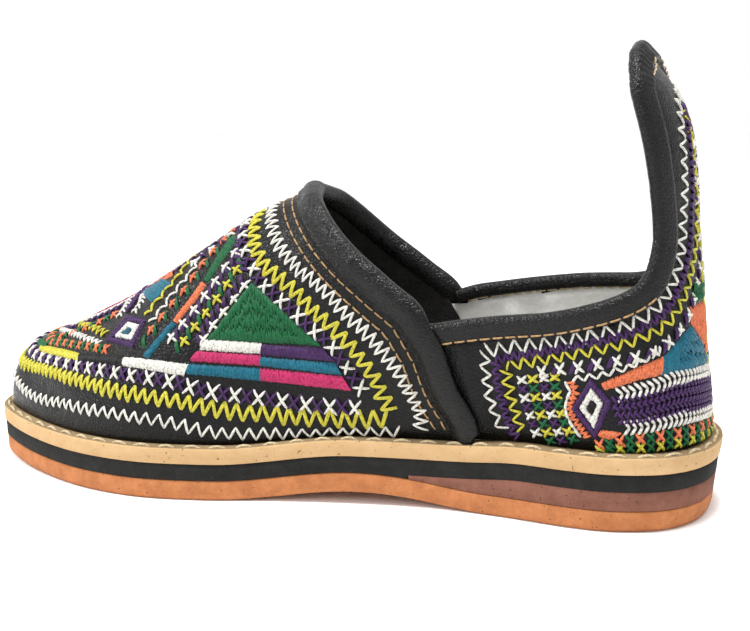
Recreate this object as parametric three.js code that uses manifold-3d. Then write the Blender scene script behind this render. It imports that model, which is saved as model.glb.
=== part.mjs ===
// Left babouche slipper: layered platform sole, one hollow leather upper with a tall heel tab,
// a padded roll round the vamp's mouth and a folded binding along the quarter and the tab.
// Millimetres, +Z up, toe to -X, heel to +X, outer side to -Y. Origin at the middle of the underside.
import * as THREE from 'three';
import { mergeVertices } from 'three/addons/utils/BufferGeometryUtils.js';
import Module from 'manifold-3d';

const wasm = await Module();
wasm.setup();

// Driving sizes
const soleLength = 253;
const ballWidth = 92;
const outsoleThickness = 6.4;
const wedgeThickness = 5.3;
const midsoleThickness = 4.8;
const weltThickness = 5.2;
const insoleThickness = 3;
const toeSpring = 2;
const archLift = 3.6;
const outsoleEdge = 1.6;
const edgeDraw = 3.2;
const ledgeWidth = 4;
const quarterWall = 1.8;
const vampStep = 1.2;
const instepHeight = 80;
const quarterHeight = 46;
const tabHeight = 121;
const tabLean = 23;
const toeSetback = 15;
const heelSetback = 28;
const bindingWidth = 7.7;
const bindingThickness = 4;
const rollWidth = 8.2;
const rollThickness = 6.6;
const rollDepth = 1.3;
const rollEdgeThickness = 3.4;
const mouthSkew = 0.1;
const seatGap = 0.3;
const insoleMargin = 0.5;

// Steps of the meshes
const stepsPerRow = 3;
const stepsUpWall = 14;
const rollSections = 72;
const rollSides = 12;

// Sections from the toe tip to the back of the heel. along: share of the sole's length. outer, inner:
// reach of the sole's edge from the long axis, as shares of the ball width. ledge: share of the ledge
// left bare round the upper. draw: how far the sole's side draws in under the welt, in shares of the
// draw. spread: how far the wall leans out at the quarter's height, in shares of it.
const sections = [
  { along: 0, outer: -0.065, inner: 0.065, ledge: 0.75, draw: 0.35, spread: 0 },
  { along: 0.02, outer: 0.141, inner: 0.26, ledge: 0.8, draw: 0.35, spread: 0 },
  { along: 0.064, outer: 0.26, inner: 0.374, ledge: 0.9, draw: 0.3, spread: 0 },
  { along: 0.143, outer: 0.386, inner: 0.45, ledge: 1, draw: 0.25, spread: 0 },
  { along: 0.23, outer: 0.478, inner: 0.483, ledge: 1, draw: 0.2, spread: 0 },
  { along: 0.314, outer: 0.509, inner: 0.485, ledge: 1, draw: 0.2, spread: 0 },
  { along: 0.397, outer: 0.474, inner: 0.45, ledge: 1, draw: 0.2, spread: 0 },
  { along: 0.48, outer: 0.404, inner: 0.385, ledge: 1, draw: 0.2, spread: 0.02 },
  { along: 0.571, outer: 0.347, inner: 0.315, ledge: 1, draw: 0.2, spread: 0.07 },
  { along: 0.667, outer: 0.308, inner: 0.293, ledge: 1, draw: 0.25, spread: 0.12 },
  { along: 0.754, outer: 0.319, inner: 0.317, ledge: 1, draw: 0.35, spread: 0.08 },
  { along: 0.841, outer: 0.358, inner: 0.358, ledge: 1, draw: 0.5, spread: 0.02 },
  { along: 0.897, outer: 0.36, inner: 0.36, ledge: 0.95, draw: 0.7, spread: 0 },
  { along: 0.952, outer: 0.303, inner: 0.303, ledge: 0.85, draw: 0.9, spread: 0 },
  { along: 0.988, outer: 0.178, inner: 0.178, ledge: 0.7, draw: 1, spread: 0 },
  { along: 1, outer: 0, inner: 0, ledge: 0.65, draw: 1, spread: 0 },
];

// Crown of the upper over the long axis. up: share of the instep height above the forefoot's deck.
// fullness: exponent of the cross-section, 2 for an arch and more for upright walls. Past the mouth the
// crown is a form to cut the quarters and the tab from.
const crown = [
  { along: 0, up: 0.27, fullness: 2.7 },
  { along: 0.04, up: 0.292, fullness: 2.55 },
  { along: 0.09, up: 0.334, fullness: 2.35 },
  { along: 0.155, up: 0.415, fullness: 2.15 },
  { along: 0.23, up: 0.526, fullness: 2 },
  { along: 0.3, up: 0.658, fullness: 2 },
  { along: 0.37, up: 0.793, fullness: 2 },
  { along: 0.44, up: 0.918, fullness: 2.05 },
  { along: 0.484, up: 0.974, fullness: 2.1 },
  { along: 0.54, up: 1.15, fullness: 2.3 },
  { along: 0.62, up: 1.4, fullness: 3 },
  { along: 0.74, up: 1.75, fullness: 4.5 },
  { along: 0.87, up: 2, fullness: 7 },
  { along: 1, up: 2.15, fullness: 8 },
];

// Mouth of the vamp from its top to the corner with the quarter, seen from the side.
// up: share of the instep height above the forefoot's deck.
const mouth = [
  { along: 0.464, up: 1.05 },
  { along: 0.4745, up: 1 },
  { along: 0.484, up: 0.972 },
  { along: 0.4975, up: 0.93 },
  { along: 0.5165, up: 0.866 },
  { along: 0.539, up: 0.794 },
  { along: 0.5645, up: 0.722 },
  { along: 0.592, up: 0.655 },
  { along: 0.6155, up: 0.597 },
  { along: 0.636, up: 0.55 },
  { along: 0.6455, up: 0.516 },
];

// Rear edge of the vamp over the quarter, from the corner down to the sole.
const vampEdge = [
  { along: 0.6455, up: 0.516 },
  { along: 0.654, up: 0.465 },
  { along: 0.667, up: 0.4 },
  { along: 0.6755, up: 0.32 },
  { along: 0.685, up: 0.2375 },
  { along: 0.696, up: 0.181 },
  { along: 0.7047, up: 0.131 },
  { along: 0.7107, up: 0.069 },
  { along: 0.716, up: -0.05 },
];

// Top line of the quarter. up: share of the quarter height. band: share of the binding's width
// that shows from the side.
const topline = [
  { along: 0.64, up: 0.88, band: 1 },
  { along: 0.7, up: 0.935, band: 1 },
  { along: 0.75, up: 0.978, band: 1 },
  { along: 0.8, up: 1.01, band: 1 },
  { along: 0.85, up: 1.038, band: 1 },
  { along: 0.885, up: 1.065, band: 1 },
  { along: 0.91, up: 1.115, band: 0.9 },
];

// Front edge of the heel tab, from the quarter up to the tab's top. up: share of the tab's height.
const tabFront = [
  { along: 0.926, up: 0.455, band: 0.75 },
  { along: 0.932, up: 0.49, band: 0.6 },
  { along: 0.936, up: 0.54, band: 0.56 },
  { along: 0.934, up: 0.615, band: 0.56 },
  { along: 0.927, up: 0.72, band: 0.56 },
  { along: 0.919, up: 0.8, band: 0.56 },
  { along: 0.909, up: 0.875, band: 0.6 },
  { along: 0.904, up: 0.935, band: 0.7 },
  { along: 0.903, up: 0.97, band: 0.72 },
  { along: 0.9, up: 1, band: 0.75 },
];

// How far the heel's back leans forward, as a share of the lean, by share of the tab's height.
const backLine = [
  { up: 0, lean: 0 },
  { up: 0.075, lean: 0 },
  { up: 0.3, lean: 0.11 },
  { up: 0.56, lean: 0.22 },
  { up: 0.745, lean: 0.315 },
  { up: 0.82, lean: 0.4 },
  { up: 0.86, lean: 0.485 },
  { up: 0.9, lean: 0.58 },
  { up: 0.935, lean: 0.73 },
  { up: 0.98, lean: 0.87 },
  { up: 1, lean: 1.02 },
];

// Heel, arch and toe of the sole, as shares of its length
const springEnd = 0.21;
const archStart = 0.415;
const archEnd = 0.75;
const riseStart = 0.585;
const riseEnd = 0.8;
const wedgeStart = 0.648;
const leanStart = 0.7;
const leanFull = 0.93;
const pastToe = -0.2;
const pastHeel = 1.2;

// Curves through table rows
function clamp01(value) {
  return Math.min(1, Math.max(0, value));
}

function smooth(value) {
  const s = clamp01(value);
  return s * s * (3 - 2 * s);
}

function monotone(rows, key, column) {
  const xs = rows.map((row) => row[key]);
  const ys = rows.map((row) => row[column]);
  const slopes = xs.slice(1).map((x, i) => (ys[i + 1] - ys[i]) / (x - xs[i]));
  const tangents = ys.map((_, i) => {
    if (i === 0) return slopes[0];
    if (i === ys.length - 1) return slopes[i - 1];
    const before = slopes[i - 1];
    const after = slopes[i];
    return before * after <= 0 ? 0 : (2 * before * after) / (before + after);
  });
  return (x) => {
    const last = xs.length - 2;
    let i = 0;
    while (i < last && x > xs[i + 1]) i += 1;
    const width = xs[i + 1] - xs[i];
    const s = clamp01((x - xs[i]) / width);
    const value = ys[i] * (1 + 2 * s) * (1 - s) ** 2 + ys[i + 1] * s * s * (3 - 2 * s);
    return value + width * (tangents[i] * s * (1 - s) ** 2 - tangents[i + 1] * s * s * (1 - s));
  };
}

function alongToX(along) {
  return (along - 0.5) * soleLength;
}

function xToAlong(x) {
  return x / soleLength + 0.5;
}

// Heights of the sole's layers at a place along it
const layerGap = seatGap;
const forefootDeck = outsoleThickness + midsoleThickness + weltThickness + 2 * layerGap;

function groundAt(along) {
  const spring = toeSpring * clamp01((springEnd - along) / springEnd) ** 2;
  const arch = clamp01((along - archStart) / (archEnd - archStart));
  return spring + archLift * Math.sin(Math.PI * arch) ** 2;
}

function riseAt(along) {
  return (wedgeThickness + layerGap) * smooth((along - riseStart) / (riseEnd - riseStart));
}

const outsoleTop = (along) => groundAt(along) + outsoleThickness;
const midsoleBottom = (along) => outsoleTop(along) + layerGap + riseAt(along);
const weltBottom = (along) => midsoleBottom(along) + midsoleThickness + layerGap;
const deckAt = (along) => weltBottom(along) + weltThickness;

// Outline of the sole as one closed loop: out along the outer side, back along the inner side
const sectionCount = sections.length - 1;
const sideSteps = sectionCount * stepsPerRow;
const loopSteps = 2 * sideSteps;

function outlineLoop() {
  const outerSide = sections.map((row) => [row.along, -row.outer]);
  const innerSide = sections.slice(1, -1).reverse().map((row) => [row.along, row.inner]);
  const points = [...outerSide, ...innerSide].map(
    ([along, across]) => new THREE.Vector3(alongToX(along), across * ballWidth, 0),
  );
  const curve = new THREE.CatmullRomCurve3(points, true, 'catmullrom', 0.5);
  const loop = [];
  for (let i = 0; i < loopSteps; i += 1) {
    const point = curve.getPoint(i / loopSteps);
    loop.push([point.x, point.y]);
  }
  const across = loop.map((point) => point[1]);
  const middle = (Math.min(...across) + Math.max(...across)) / 2;
  return loop.map(([x, y]) => [x, y - middle]);
}

const outline = outlineLoop();

// The index on either side of the loop that lies at the same section
const innerIndex = (i) => (loopSteps - i) % loopSteps;

function inset(loop, amountAt) {
  return loop.map((point, i) => {
    const before = loop[(i + loopSteps - 1) % loopSteps];
    const after = loop[(i + 1) % loopSteps];
    const dx = after[0] - before[0];
    const dy = after[1] - before[1];
    const length = Math.hypot(dx, dy);
    const amount = amountAt(i);
    return [point[0] - (dy / length) * amount, point[1] + (dx / length) * amount];
  });
}

// Solids
function solidFrom(vertices, triangles) {
  const mesh = new wasm.Mesh({
    numProp: 3,
    vertProperties: new Float32Array(vertices.flat()),
    triVerts: new Uint32Array(triangles.flat()),
  });
  return new wasm.Manifold(mesh);
}

function solidFromGeometry(geometry) {
  const bare = geometry.index ? geometry : geometry.clone();
  bare.deleteAttribute('normal');
  bare.deleteAttribute('uv');
  const merged = mergeVertices(bare, 1e-4);
  return new wasm.Manifold(new wasm.Mesh({
    numProp: 3,
    vertProperties: merged.attributes.position.array,
    triVerts: new Uint32Array(merged.index.array),
  }));
}

function meshFrom(name, solid, look) {
  const { vertProperties, triVerts } = solid.getMesh();
  const geometry = new THREE.BufferGeometry();
  geometry.setAttribute('position', new THREE.BufferAttribute(vertProperties, 3));
  geometry.setIndex(new THREE.BufferAttribute(triVerts, 1));
  geometry.computeVertexNormals();
  const mesh = new THREE.Mesh(geometry, new THREE.MeshStandardMaterial(look));
  mesh.name = name;
  return mesh;
}

// Closed solid through stacked rings that all follow the sole's loop, lowest ring first
function stackRings(rings) {
  const vertices = rings.flat();
  const triangles = [];
  const at = (ring, i) => ring * loopSteps + (i % loopSteps);
  for (let ring = 0; ring < rings.length - 1; ring += 1) {
    for (let i = 0; i < loopSteps; i += 1) {
      triangles.push([at(ring, i), at(ring, i + 1), at(ring + 1, i + 1)]);
      triangles.push([at(ring, i), at(ring + 1, i + 1), at(ring + 1, i)]);
    }
  }
  const cap = (ring, up) => {
    for (let i = 0; i < sideSteps; i += 1) {
      const corners = [at(ring, i), at(ring, i + 1), at(ring, innerIndex(i + 1)), at(ring, innerIndex(i))];
      const faces = i === 0
        ? [[corners[0], corners[1], corners[2]]]
        : [[corners[0], corners[1], corners[3]], [corners[1], corners[2], corners[3]]];
      const kept = faces.filter((face) => new Set(face).size === 3);
      kept.forEach((face) => triangles.push(up ? face : [...face].reverse()));
    }
  };
  cap(0, false);
  cap(rings.length - 1, true);
  return solidFrom(vertices, triangles);
}

const ringAt = (loop, heightAt) => loop.map(([x, y]) => [x, y, heightAt(xToAlong(x))]);

function soleLayer(lowLoop, highLoop, bottomAt, topAt) {
  return stackRings([ringAt(lowLoop, bottomAt), ringAt(highLoop, topAt)]);
}

// Outline at a depth below the welt's top, as a share of the heel's stack
const sideOrder = (i) => Math.min(i, loopSteps - i) / stepsPerRow;
const orderedSections = sections.map((row, order) => ({ ...row, order }));
const drawRow = monotone(orderedSections, 'order', 'draw');
const heelStack = outsoleThickness + wedgeThickness + midsoleThickness + weltThickness;

function outlineBelow(depth) {
  return inset(outline, (i) => edgeDraw * drawRow(sideOrder(i)) * (depth / heelStack));
}

const weltFoot = outlineBelow(weltThickness);
const midsoleFoot = outlineBelow(weltThickness + midsoleThickness);
const outsoleHead = outlineBelow(heelStack - outsoleThickness);

// Outsole with its lower edge rounded off
function outsole() {
  const halfEdge = outsoleEdge * 0.3;
  const foot = outlineBelow(heelStack - outsoleEdge);
  return stackRings([
    ringAt(inset(foot, () => outsoleEdge), groundAt),
    ringAt(inset(foot, () => halfEdge), (along) => groundAt(along) + halfEdge),
    ringAt(foot, (along) => groundAt(along) + outsoleEdge),
    ringAt(outsoleHead, outsoleTop),
  ]);
}

// Wedge between outsole and midsole, blunt at its front
function heelWedge() {
  const bottomAt = (along) => outsoleTop(along) + layerGap;
  const topAt = (along) => bottomAt(along) + Math.max(riseAt(along) - layerGap, layerGap);
  const whole = soleLayer(outsoleHead, midsoleFoot, bottomAt, topAt);
  const wedgeLength = alongToX(pastHeel) - alongToX(wedgeStart);
  const box = new THREE.BoxGeometry(wedgeLength, 2 * ballWidth, tabHeight);
  box.translate(alongToX(wedgeStart) + wedgeLength / 2, 0, 0);
  return whole.intersect(solidFromGeometry(box));
}

// Base of the upper: the feather line on the deck
const ledgeRow = monotone(orderedSections, 'order', 'ledge');
const featherLine = inset(outline, (i) => ledgeWidth * ledgeRow(sideOrder(i)));

const crownUp = monotone(crown, 'along', 'up');
const crownFullness = monotone(crown, 'along', 'fullness');
const spreadAt = monotone(sections, 'along', 'spread');
const leanAt = monotone(backLine, 'up', 'lean');
const crownHeight = (x) => forefootDeck + instepHeight * crownUp(clamp01(xToAlong(x)));
const featherHeight = (x) => deckAt(xToAlong(x)) + seatGap;

const toeX = featherLine[0][0];
const heelX = featherLine[sideSteps][0];
const fanLength = 52;

// The place on the long axis that a path up the wall makes for
function crownX(x) {
  const toeShare = clamp01((x - toeX) / fanLength);
  const heelShare = clamp01((heelX - x) / fanLength);
  return x + toeSetback * (1 - toeShare) ** 2 - heelSetback * (1 - heelShare) ** 2;
}

// Long axis seen from above: it swings to the toe tip
function axisY(x) {
  const share = clamp01((x - toeX) / (2 * fanLength));
  return featherLine[0][1] * (1 - share) ** 2 + featherLine[sideSteps][1] * smooth(share);
}

function leanForward(x, z) {
  const share = smooth((xToAlong(x) - leanStart) / (leanFull - leanStart));
  return tabLean * share * leanAt(Math.max(0, (z - forefootDeck) / tabHeight));
}

// Point of the upper's outer form above a point of the feather line, climb 0 at the sole to 1 at the crown
function wallFrom([x0, y0], side, climb) {
  const z0 = featherHeight(x0);
  const fullness = crownFullness(clamp01(xToAlong(x0)));
  const turn = 1 - (1 - climb ** fullness) ** (1 / fullness);
  const x = x0 + (crownX(x0) - x0) * turn;
  const z = z0 + (crownHeight(x) - z0) * climb;
  const leaned = 1 - (1 - clamp01((z - z0) / quarterHeight)) ** 2;
  const spread = side * quarterHeight * spreadAt(clamp01(xToAlong(x0))) * leaned * (1 - turn);
  return [x - leanForward(x, z), y0 + (axisY(x) - y0) * turn + spread, z];
}

function sideOf(i) {
  if (i % sideSteps === 0) return 0;
  return i < sideSteps ? -1 : 1;
}

const wallPoint = (i, climb) => wallFrom(featherLine[i], sideOf(i), climb);

// The upper's whole form as a closed mesh, with a skirt below the feather line
function wallForm(depth) {
  const skirt = 12;
  const columns = loopSteps;
  const climbs = [];
  for (let k = 0; k <= stepsUpWall; k += 1) climbs.push(Math.sin((k / stepsUpWall) * (Math.PI / 2)));
  const vertices = [];
  const rows = [];
  rows.push(featherLine.map(([x, y]) => vertices.push([x, y, featherHeight(x) - skirt]) - 1));
  for (const climb of climbs.slice(0, -1)) {
    const row = [];
    for (let i = 0; i < columns; i += 1) row.push(vertices.push(wallPoint(i, climb)) - 1);
    rows.push(row);
  }
  const crest = [];
  for (let i = 0; i <= sideSteps; i += 1) crest.push(vertices.push(wallPoint(i, 1)) - 1);
  rows.push(Array.from({ length: columns }, (_, i) => crest[Math.min(i, columns - i)]));
  const triangles = [];
  for (let r = 0; r < rows.length - 1; r += 1) {
    for (let i = 0; i < columns; i += 1) {
      const j = (i + 1) % columns;
      triangles.push([rows[r][i], rows[r][j], rows[r + 1][j]]);
      triangles.push([rows[r][i], rows[r + 1][j], rows[r + 1][i]]);
    }
  }
  for (let i = 0; i < sideSteps; i += 1) {
    const ring = rows[0];
    triangles.push([ring[i], ring[innerIndex(i)], ring[i + 1]]);
    triangles.push([ring[i + 1], ring[innerIndex(i)], ring[innerIndex(i + 1)]]);
  }
  const kept = triangles.filter((face) => new Set(face).size === 3);
  return solidFrom(sunk(vertices, kept, depth), kept);
}

// Every point moved inwards along the surface's normal
function sunk(vertices, triangles, depth) {
  if (depth === 0) return vertices;
  const geometry = new THREE.BufferGeometry();
  geometry.setAttribute('position', new THREE.BufferAttribute(new Float32Array(vertices.flat()), 3));
  geometry.setIndex(triangles.flat());
  geometry.computeVertexNormals();
  const normals = geometry.attributes.normal;
  return vertices.map(([x, y, z], i) => [
    x - normals.getX(i) * depth,
    y - normals.getY(i) * depth,
    z - normals.getZ(i) * depth,
  ]);
}

// Side-view cutters, extruded across the shoe
function sideCutter(points, skew = 0) {
  const shape = new THREE.Shape(points.map(([x, z]) => new THREE.Vector2(x, z)));
  const reach = 2 * ballWidth;
  const geometry = new THREE.ExtrudeGeometry(shape, { depth: reach, bevelEnabled: false });
  geometry.rotateX(Math.PI / 2);
  geometry.translate(0, reach / 2, 0);
  geometry.applyMatrix4(new THREE.Matrix4().makeShear(0, 0, -skew, 0, 0, 0));
  return solidFromGeometry(geometry);
}

function sideCurve(points, steps) {
  const curve = new THREE.CatmullRomCurve3(points.map(([x, z]) => new THREE.Vector3(x, z, 0)));
  return curve.getPoints(steps).map((point) => [point.x, point.y]);
}

const fromInstep = (row) => [alongToX(row.along), forefootDeck + row.up * instepHeight];
const fromQuarter = (row) => [alongToX(row.along), forefootDeck + row.up * quarterHeight];
const fromTab = (row) => [alongToX(row.along), forefootDeck + row.up * tabHeight];

const mouthLine = sideCurve(mouth.map(fromInstep), 20);
const vampLine = sideCurve(vampEdge.map(fromInstep), 8);
const edgeRows = [...topline, ...tabFront];
const edgeLine = sideCurve([...topline.map(fromQuarter), ...tabFront.map(fromTab)], 40);
const bandShare = monotone(edgeRows.map((row, i) => ({ order: i, band: row.band })), 'order', 'band');
const tabTop = forefootDeck + tabHeight;
const skyHeight = tabTop + tabHeight;

// The edge line moved down and back by the binding's width and any gap
function bandLine(gap) {
  const rowSpan = edgeRows.length - 1;
  return edgeLine.map((point, i) => {
    const before = edgeLine[Math.max(0, i - 1)];
    const after = edgeLine[Math.min(edgeLine.length - 1, i + 1)];
    const dx = after[0] - before[0];
    const dz = after[1] - before[1];
    const length = Math.hypot(dx, dz);
    const width = bindingWidth * bandShare((i / (edgeLine.length - 1)) * rowSpan) + gap;
    return [point[0] + (dz / length) * width, point[1] - (dx / length) * width];
  });
}

// Everything above a line that runs from the mouth's corner back and up to the tab's top
function aboveLine(line) {
  const top = line[line.length - 1];
  return sideCutter([
    ...line,
    [alongToX(pastHeel), top[1]],
    [alongToX(pastHeel), skyHeight],
    [line[0][0], skyHeight],
  ]);
}

function bandCut(gap) {
  const level = tabTop - bindingWidth - gap;
  return aboveLine([...bandLine(gap).filter(([, z]) => z < level - 1), [bandLine(gap).pop()[0], level]]);
}

// The opening over the vamp's mouth
function mouthCut() {
  const start = mouthLine[0];
  const corner = mouthLine[mouthLine.length - 1];
  return sideCutter([
    ...mouthLine,
    [alongToX(1), corner[1]],
    [alongToX(1), skyHeight],
    [start[0] - instepHeight / 2, skyHeight],
  ], mouthSkew);
}

// Everything ahead of the vamp's rear edge
function vampRegion(gap) {
  const corner = vampLine[0];
  const foot = vampLine[vampLine.length - 1];
  return sideCutter([
    [alongToX(pastToe), foot[1]],
    ...[...vampLine].reverse().map(([x, z]) => [x + gap, z]),
    [corner[0] + gap, skyHeight],
    [alongToX(pastToe), skyHeight],
  ], mouthSkew);
}

// Below the upper's lower edge
function underDeck() {
  const wide = inset(outline, () => -ballWidth / 8);
  return soleLayer(wide, wide, (along) => groundAt(along) - ballWidth, (along) => deckAt(along) + seatGap);
}

// How far out the form lies at a height over a place between the toe's and the heel's fans
function wallSide(x, z, side) {
  const half = featherLine.filter((_, i) => sideOf(i) === side);
  const ordered = side < 0 ? half : half.reverse();
  const next = ordered.findIndex((point) => point[0] > x);
  const [low, high] = [ordered[next - 1], ordered[next]];
  const share = (x - low[0]) / (high[0] - low[0]);
  const z0 = featherHeight(x);
  const climb = clamp01((z - z0) / (crownHeight(x) - z0));
  return wallFrom([x, low[1] + (high[1] - low[1]) * share], side, climb)[1];
}

// Line of the padded roll: up the vamp's rear edge, round its mouth and down the other side
function mouthPath() {
  const crossing = mouthLine.findIndex(([x, z]) => z < crownHeight(x));
  const ahead = mouthLine[crossing - 1];
  const behind = mouthLine[crossing];
  const over = ahead[1] - crownHeight(ahead[0]);
  const share = over / (over + crownHeight(behind[0]) - behind[1]);
  const topX = ahead[0] + (behind[0] - ahead[0]) * share;
  const line = [...mouthLine.slice(crossing), ...vampLine.slice(1)];
  const halves = [-1, 1].map((side) => line.map(([x, z]) => {
    const askew = x - mouthSkew * wallSide(x, z, side);
    return new THREE.Vector3(askew, wallSide(askew, z, side), z);
  }));
  const top = new THREE.Vector3(topX - mouthSkew * axisY(topX), axisY(topX), crownHeight(topX));
  const rough = new THREE.CatmullRomCurve3([...halves[0].reverse(), top, ...halves[1]], false, 'centripetal');
  return rough.getSpacedPoints(rollSections);
}

function outwardAt(point) {
  const level = (x, y, z) => {
    const side = y < axisY(x) ? -1 : 1;
    const z0 = featherHeight(x);
    const fullness = crownFullness(xToAlong(x));
    const climb = Math.max(0, (z - z0) / (crownHeight(x) - z0));
    const base = Math.abs(wallSide(x, z0, side) - axisY(x));
    return (Math.abs(y - axisY(x)) / base) ** fullness + climb ** fullness;
  };
  const h = 0.5;
  const { x, y, z } = point;
  return new THREE.Vector3(
    level(x + h, y, z) - level(x - h, y, z),
    level(x, y + h, z) - level(x, y - h, z),
    level(x, y, z + h) - level(x, y, z - h),
  ).normalize();
}

// The roll wraps the mouth's free edge, and below the corner it lies flatter, on the quarter's wall
function roll(growth) {
  const path = mouthPath();
  const vertices = [];
  const last = path.length - 1;
  const flatHeight = mouthLine[mouthLine.length - 1][1] + rollWidth / 2;
  const edgeDepth = vampStep - seatGap - rollEdgeThickness / 2;
  path.forEach((point, i) => {
    const tangent = path[Math.min(last, i + 1)].clone().sub(path[Math.max(0, i - 1)]).normalize();
    const outward = outwardAt(point);
    outward.addScaledVector(tangent, -outward.dot(tangent)).normalize();
    const along = new THREE.Vector3().crossVectors(tangent, outward).normalize();
    const flat = smooth((flatHeight - point.z) / (1.5 * rollWidth));
    const thickness = rollThickness + (rollEdgeThickness - rollThickness) * flat;
    const centre = point.clone().addScaledVector(outward, -rollDepth - (edgeDepth - rollDepth) * flat);
    for (let k = 0; k < rollSides; k += 1) {
      const angle = (k / rollSides) * 2 * Math.PI;
      const place = centre.clone()
        .addScaledVector(along, (rollWidth / 2 + growth) * Math.cos(angle))
        .addScaledVector(outward, (thickness / 2 + growth) * Math.sin(angle));
      vertices.push(place.toArray());
    }
  });
  const triangles = [];
  const at = (i, k) => i * rollSides + (k % rollSides);
  for (let i = 0; i < last; i += 1) {
    for (let k = 0; k < rollSides; k += 1) {
      triangles.push([at(i, k), at(i + 1, k + 1), at(i, k + 1)]);
      triangles.push([at(i, k), at(i + 1, k), at(i + 1, k + 1)]);
    }
  }
  for (let k = 1; k < rollSides - 1; k += 1) {
    triangles.push([at(0, 0), at(0, k), at(0, k + 1)]);
    triangles.push([at(last, 0), at(last, k + 1), at(last, k)]);
  }
  return solidFrom(vertices, triangles);
}

// The assembly
const wallDepth = vampStep + quarterWall;
const fullForm = wallForm(0);
const quarterForm = wallForm(vampStep);
const innerForm = wallForm(wallDepth);
const bindingInner = wallForm(bindingThickness);
const below = underDeck();
const rollRoom = roll(seatGap);
const quarterFront = bandLine(seatGap)[0][0] + bindingWidth / 4;

function aheadOf(x) {
  const length = soleLength;
  const box = new THREE.BoxGeometry(length, 2 * ballWidth, 4 * tabHeight);
  box.translate(x - length / 2, 0, 0);
  return solidFromGeometry(box);
}

const vampPart = fullForm.intersect(vampRegion(0)).subtract(mouthCut());
const quarterPart = quarterForm.subtract(bandCut(seatGap)).subtract(aheadOf(quarterFront));
const upper = vampPart.add(quarterPart).subtract(innerForm).subtract(below).subtract(rollRoom);

const binding = fullForm
  .subtract(bindingInner)
  .intersect(bandCut(0))
  .subtract(aboveLine(edgeLine))
  .subtract(vampRegion(seatGap))
  .subtract(rollRoom);

const midsoleTop = (along) => midsoleBottom(along) + midsoleThickness;
const midsole = soleLayer(midsoleFoot, weltFoot, midsoleBottom, midsoleTop);
const welt = soleLayer(weltFoot, outline, weltBottom, deckAt);
const insoleLoop = inset(featherLine, () => wallDepth + insoleMargin);
const insole = soleLayer(
  insoleLoop,
  insoleLoop,
  (along) => deckAt(along) + seatGap,
  (along) => deckAt(along) + seatGap + insoleThickness,
);

const leather = { color: 0x1c1c1b, roughness: 0.5, metalness: 0 };
const slipper = new THREE.Group();
slipper.add(
  meshFrom('outsole', outsole(), { color: 0xcf8350, roughness: 0.9, metalness: 0 }),
  meshFrom('heel_wedge', heelWedge(), { color: 0xa06a55, roughness: 0.9, metalness: 0 }),
  meshFrom('midsole', midsole, { color: 0x2b2b2a, roughness: 0.95, metalness: 0 }),
  meshFrom('welt', welt, { color: 0xdcb98a, roughness: 0.9, metalness: 0 }),
  meshFrom('insole', insole, { color: 0xb9b6ae, roughness: 0.8, metalness: 0 }),
  meshFrom('upper', upper, leather),
  meshFrom('vamp_collar', roll(0).subtract(below), leather),
  meshFrom('topline_binding', binding, leather),
);

export default slipper;
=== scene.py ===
# Dresses a left babouche slipper: embroidered black goatskin with a tall heel tab, a padded roll round
# the mouth, a folded binding, linings and a layered crepe platform sole.
# Worked in the part's own millimetres: toe to -X, heel to +X, outer side to -Y, +Z up.
import math
import random

import bmesh
import bpy
from mathutils import Matrix, Vector
from mathutils.bvhtree import BVHTree
from mathutils.kdtree import KDTree


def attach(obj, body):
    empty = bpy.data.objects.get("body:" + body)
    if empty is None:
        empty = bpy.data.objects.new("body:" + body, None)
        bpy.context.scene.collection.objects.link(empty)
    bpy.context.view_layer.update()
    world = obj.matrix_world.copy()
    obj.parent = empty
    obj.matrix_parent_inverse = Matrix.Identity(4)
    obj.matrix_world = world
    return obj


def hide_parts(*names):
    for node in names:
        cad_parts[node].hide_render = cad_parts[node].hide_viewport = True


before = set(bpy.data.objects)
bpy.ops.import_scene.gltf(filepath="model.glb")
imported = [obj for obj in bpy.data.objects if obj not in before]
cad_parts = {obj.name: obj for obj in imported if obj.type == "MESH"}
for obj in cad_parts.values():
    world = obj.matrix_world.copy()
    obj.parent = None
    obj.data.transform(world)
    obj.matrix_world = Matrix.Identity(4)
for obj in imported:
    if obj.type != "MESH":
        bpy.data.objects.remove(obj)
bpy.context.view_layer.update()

MM = 0.001

# Sizes of the slipper, the same as the part's
SOLE_LENGTH = 253
BALL_WIDTH = 92
OUTSOLE = 6.4
WEDGE = 5.3
MIDSOLE = 4.8
WELT = 5.2
INSOLE = 3
TOE_SPRING = 2
ARCH_LIFT = 3.6
EDGE_ROUND = 1.6
EDGE_DRAW = 3.2
LEDGE = 4
QUARTER_WALL = 1.8
VAMP_STEP = 1.2
INSTEP = 80
QUARTER = 46
TAB = 121
TAB_LEAN = 23
TOE_SETBACK = 15
HEEL_SETBACK = 28
BINDING_THICKNESS = 4
ROLL_WIDTH = 8.2
ROLL_THICKNESS = 6.6
ROLL_DEPTH = 1.3
ROLL_EDGE = 3.4
MOUTH_SKEW = 0.1
GAP = 0.3
INSOLE_MARGIN = 0.5
FAN = 52
SPRING_END = 0.21
ARCH_START, ARCH_END = 0.415, 0.75
RISE_START, RISE_END = 0.585, 0.8
WEDGE_START = 0.648
LEAN_START, LEAN_FULL = 0.7, 0.93
FOREFOOT_DECK = OUTSOLE + MIDSOLE + WELT + 2 * GAP
HEEL_STACK = OUTSOLE + WEDGE + MIDSOLE + WELT


def table(columns, rows):
    names = columns.split()
    return [dict(zip(names, row)) for row in rows]


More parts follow.
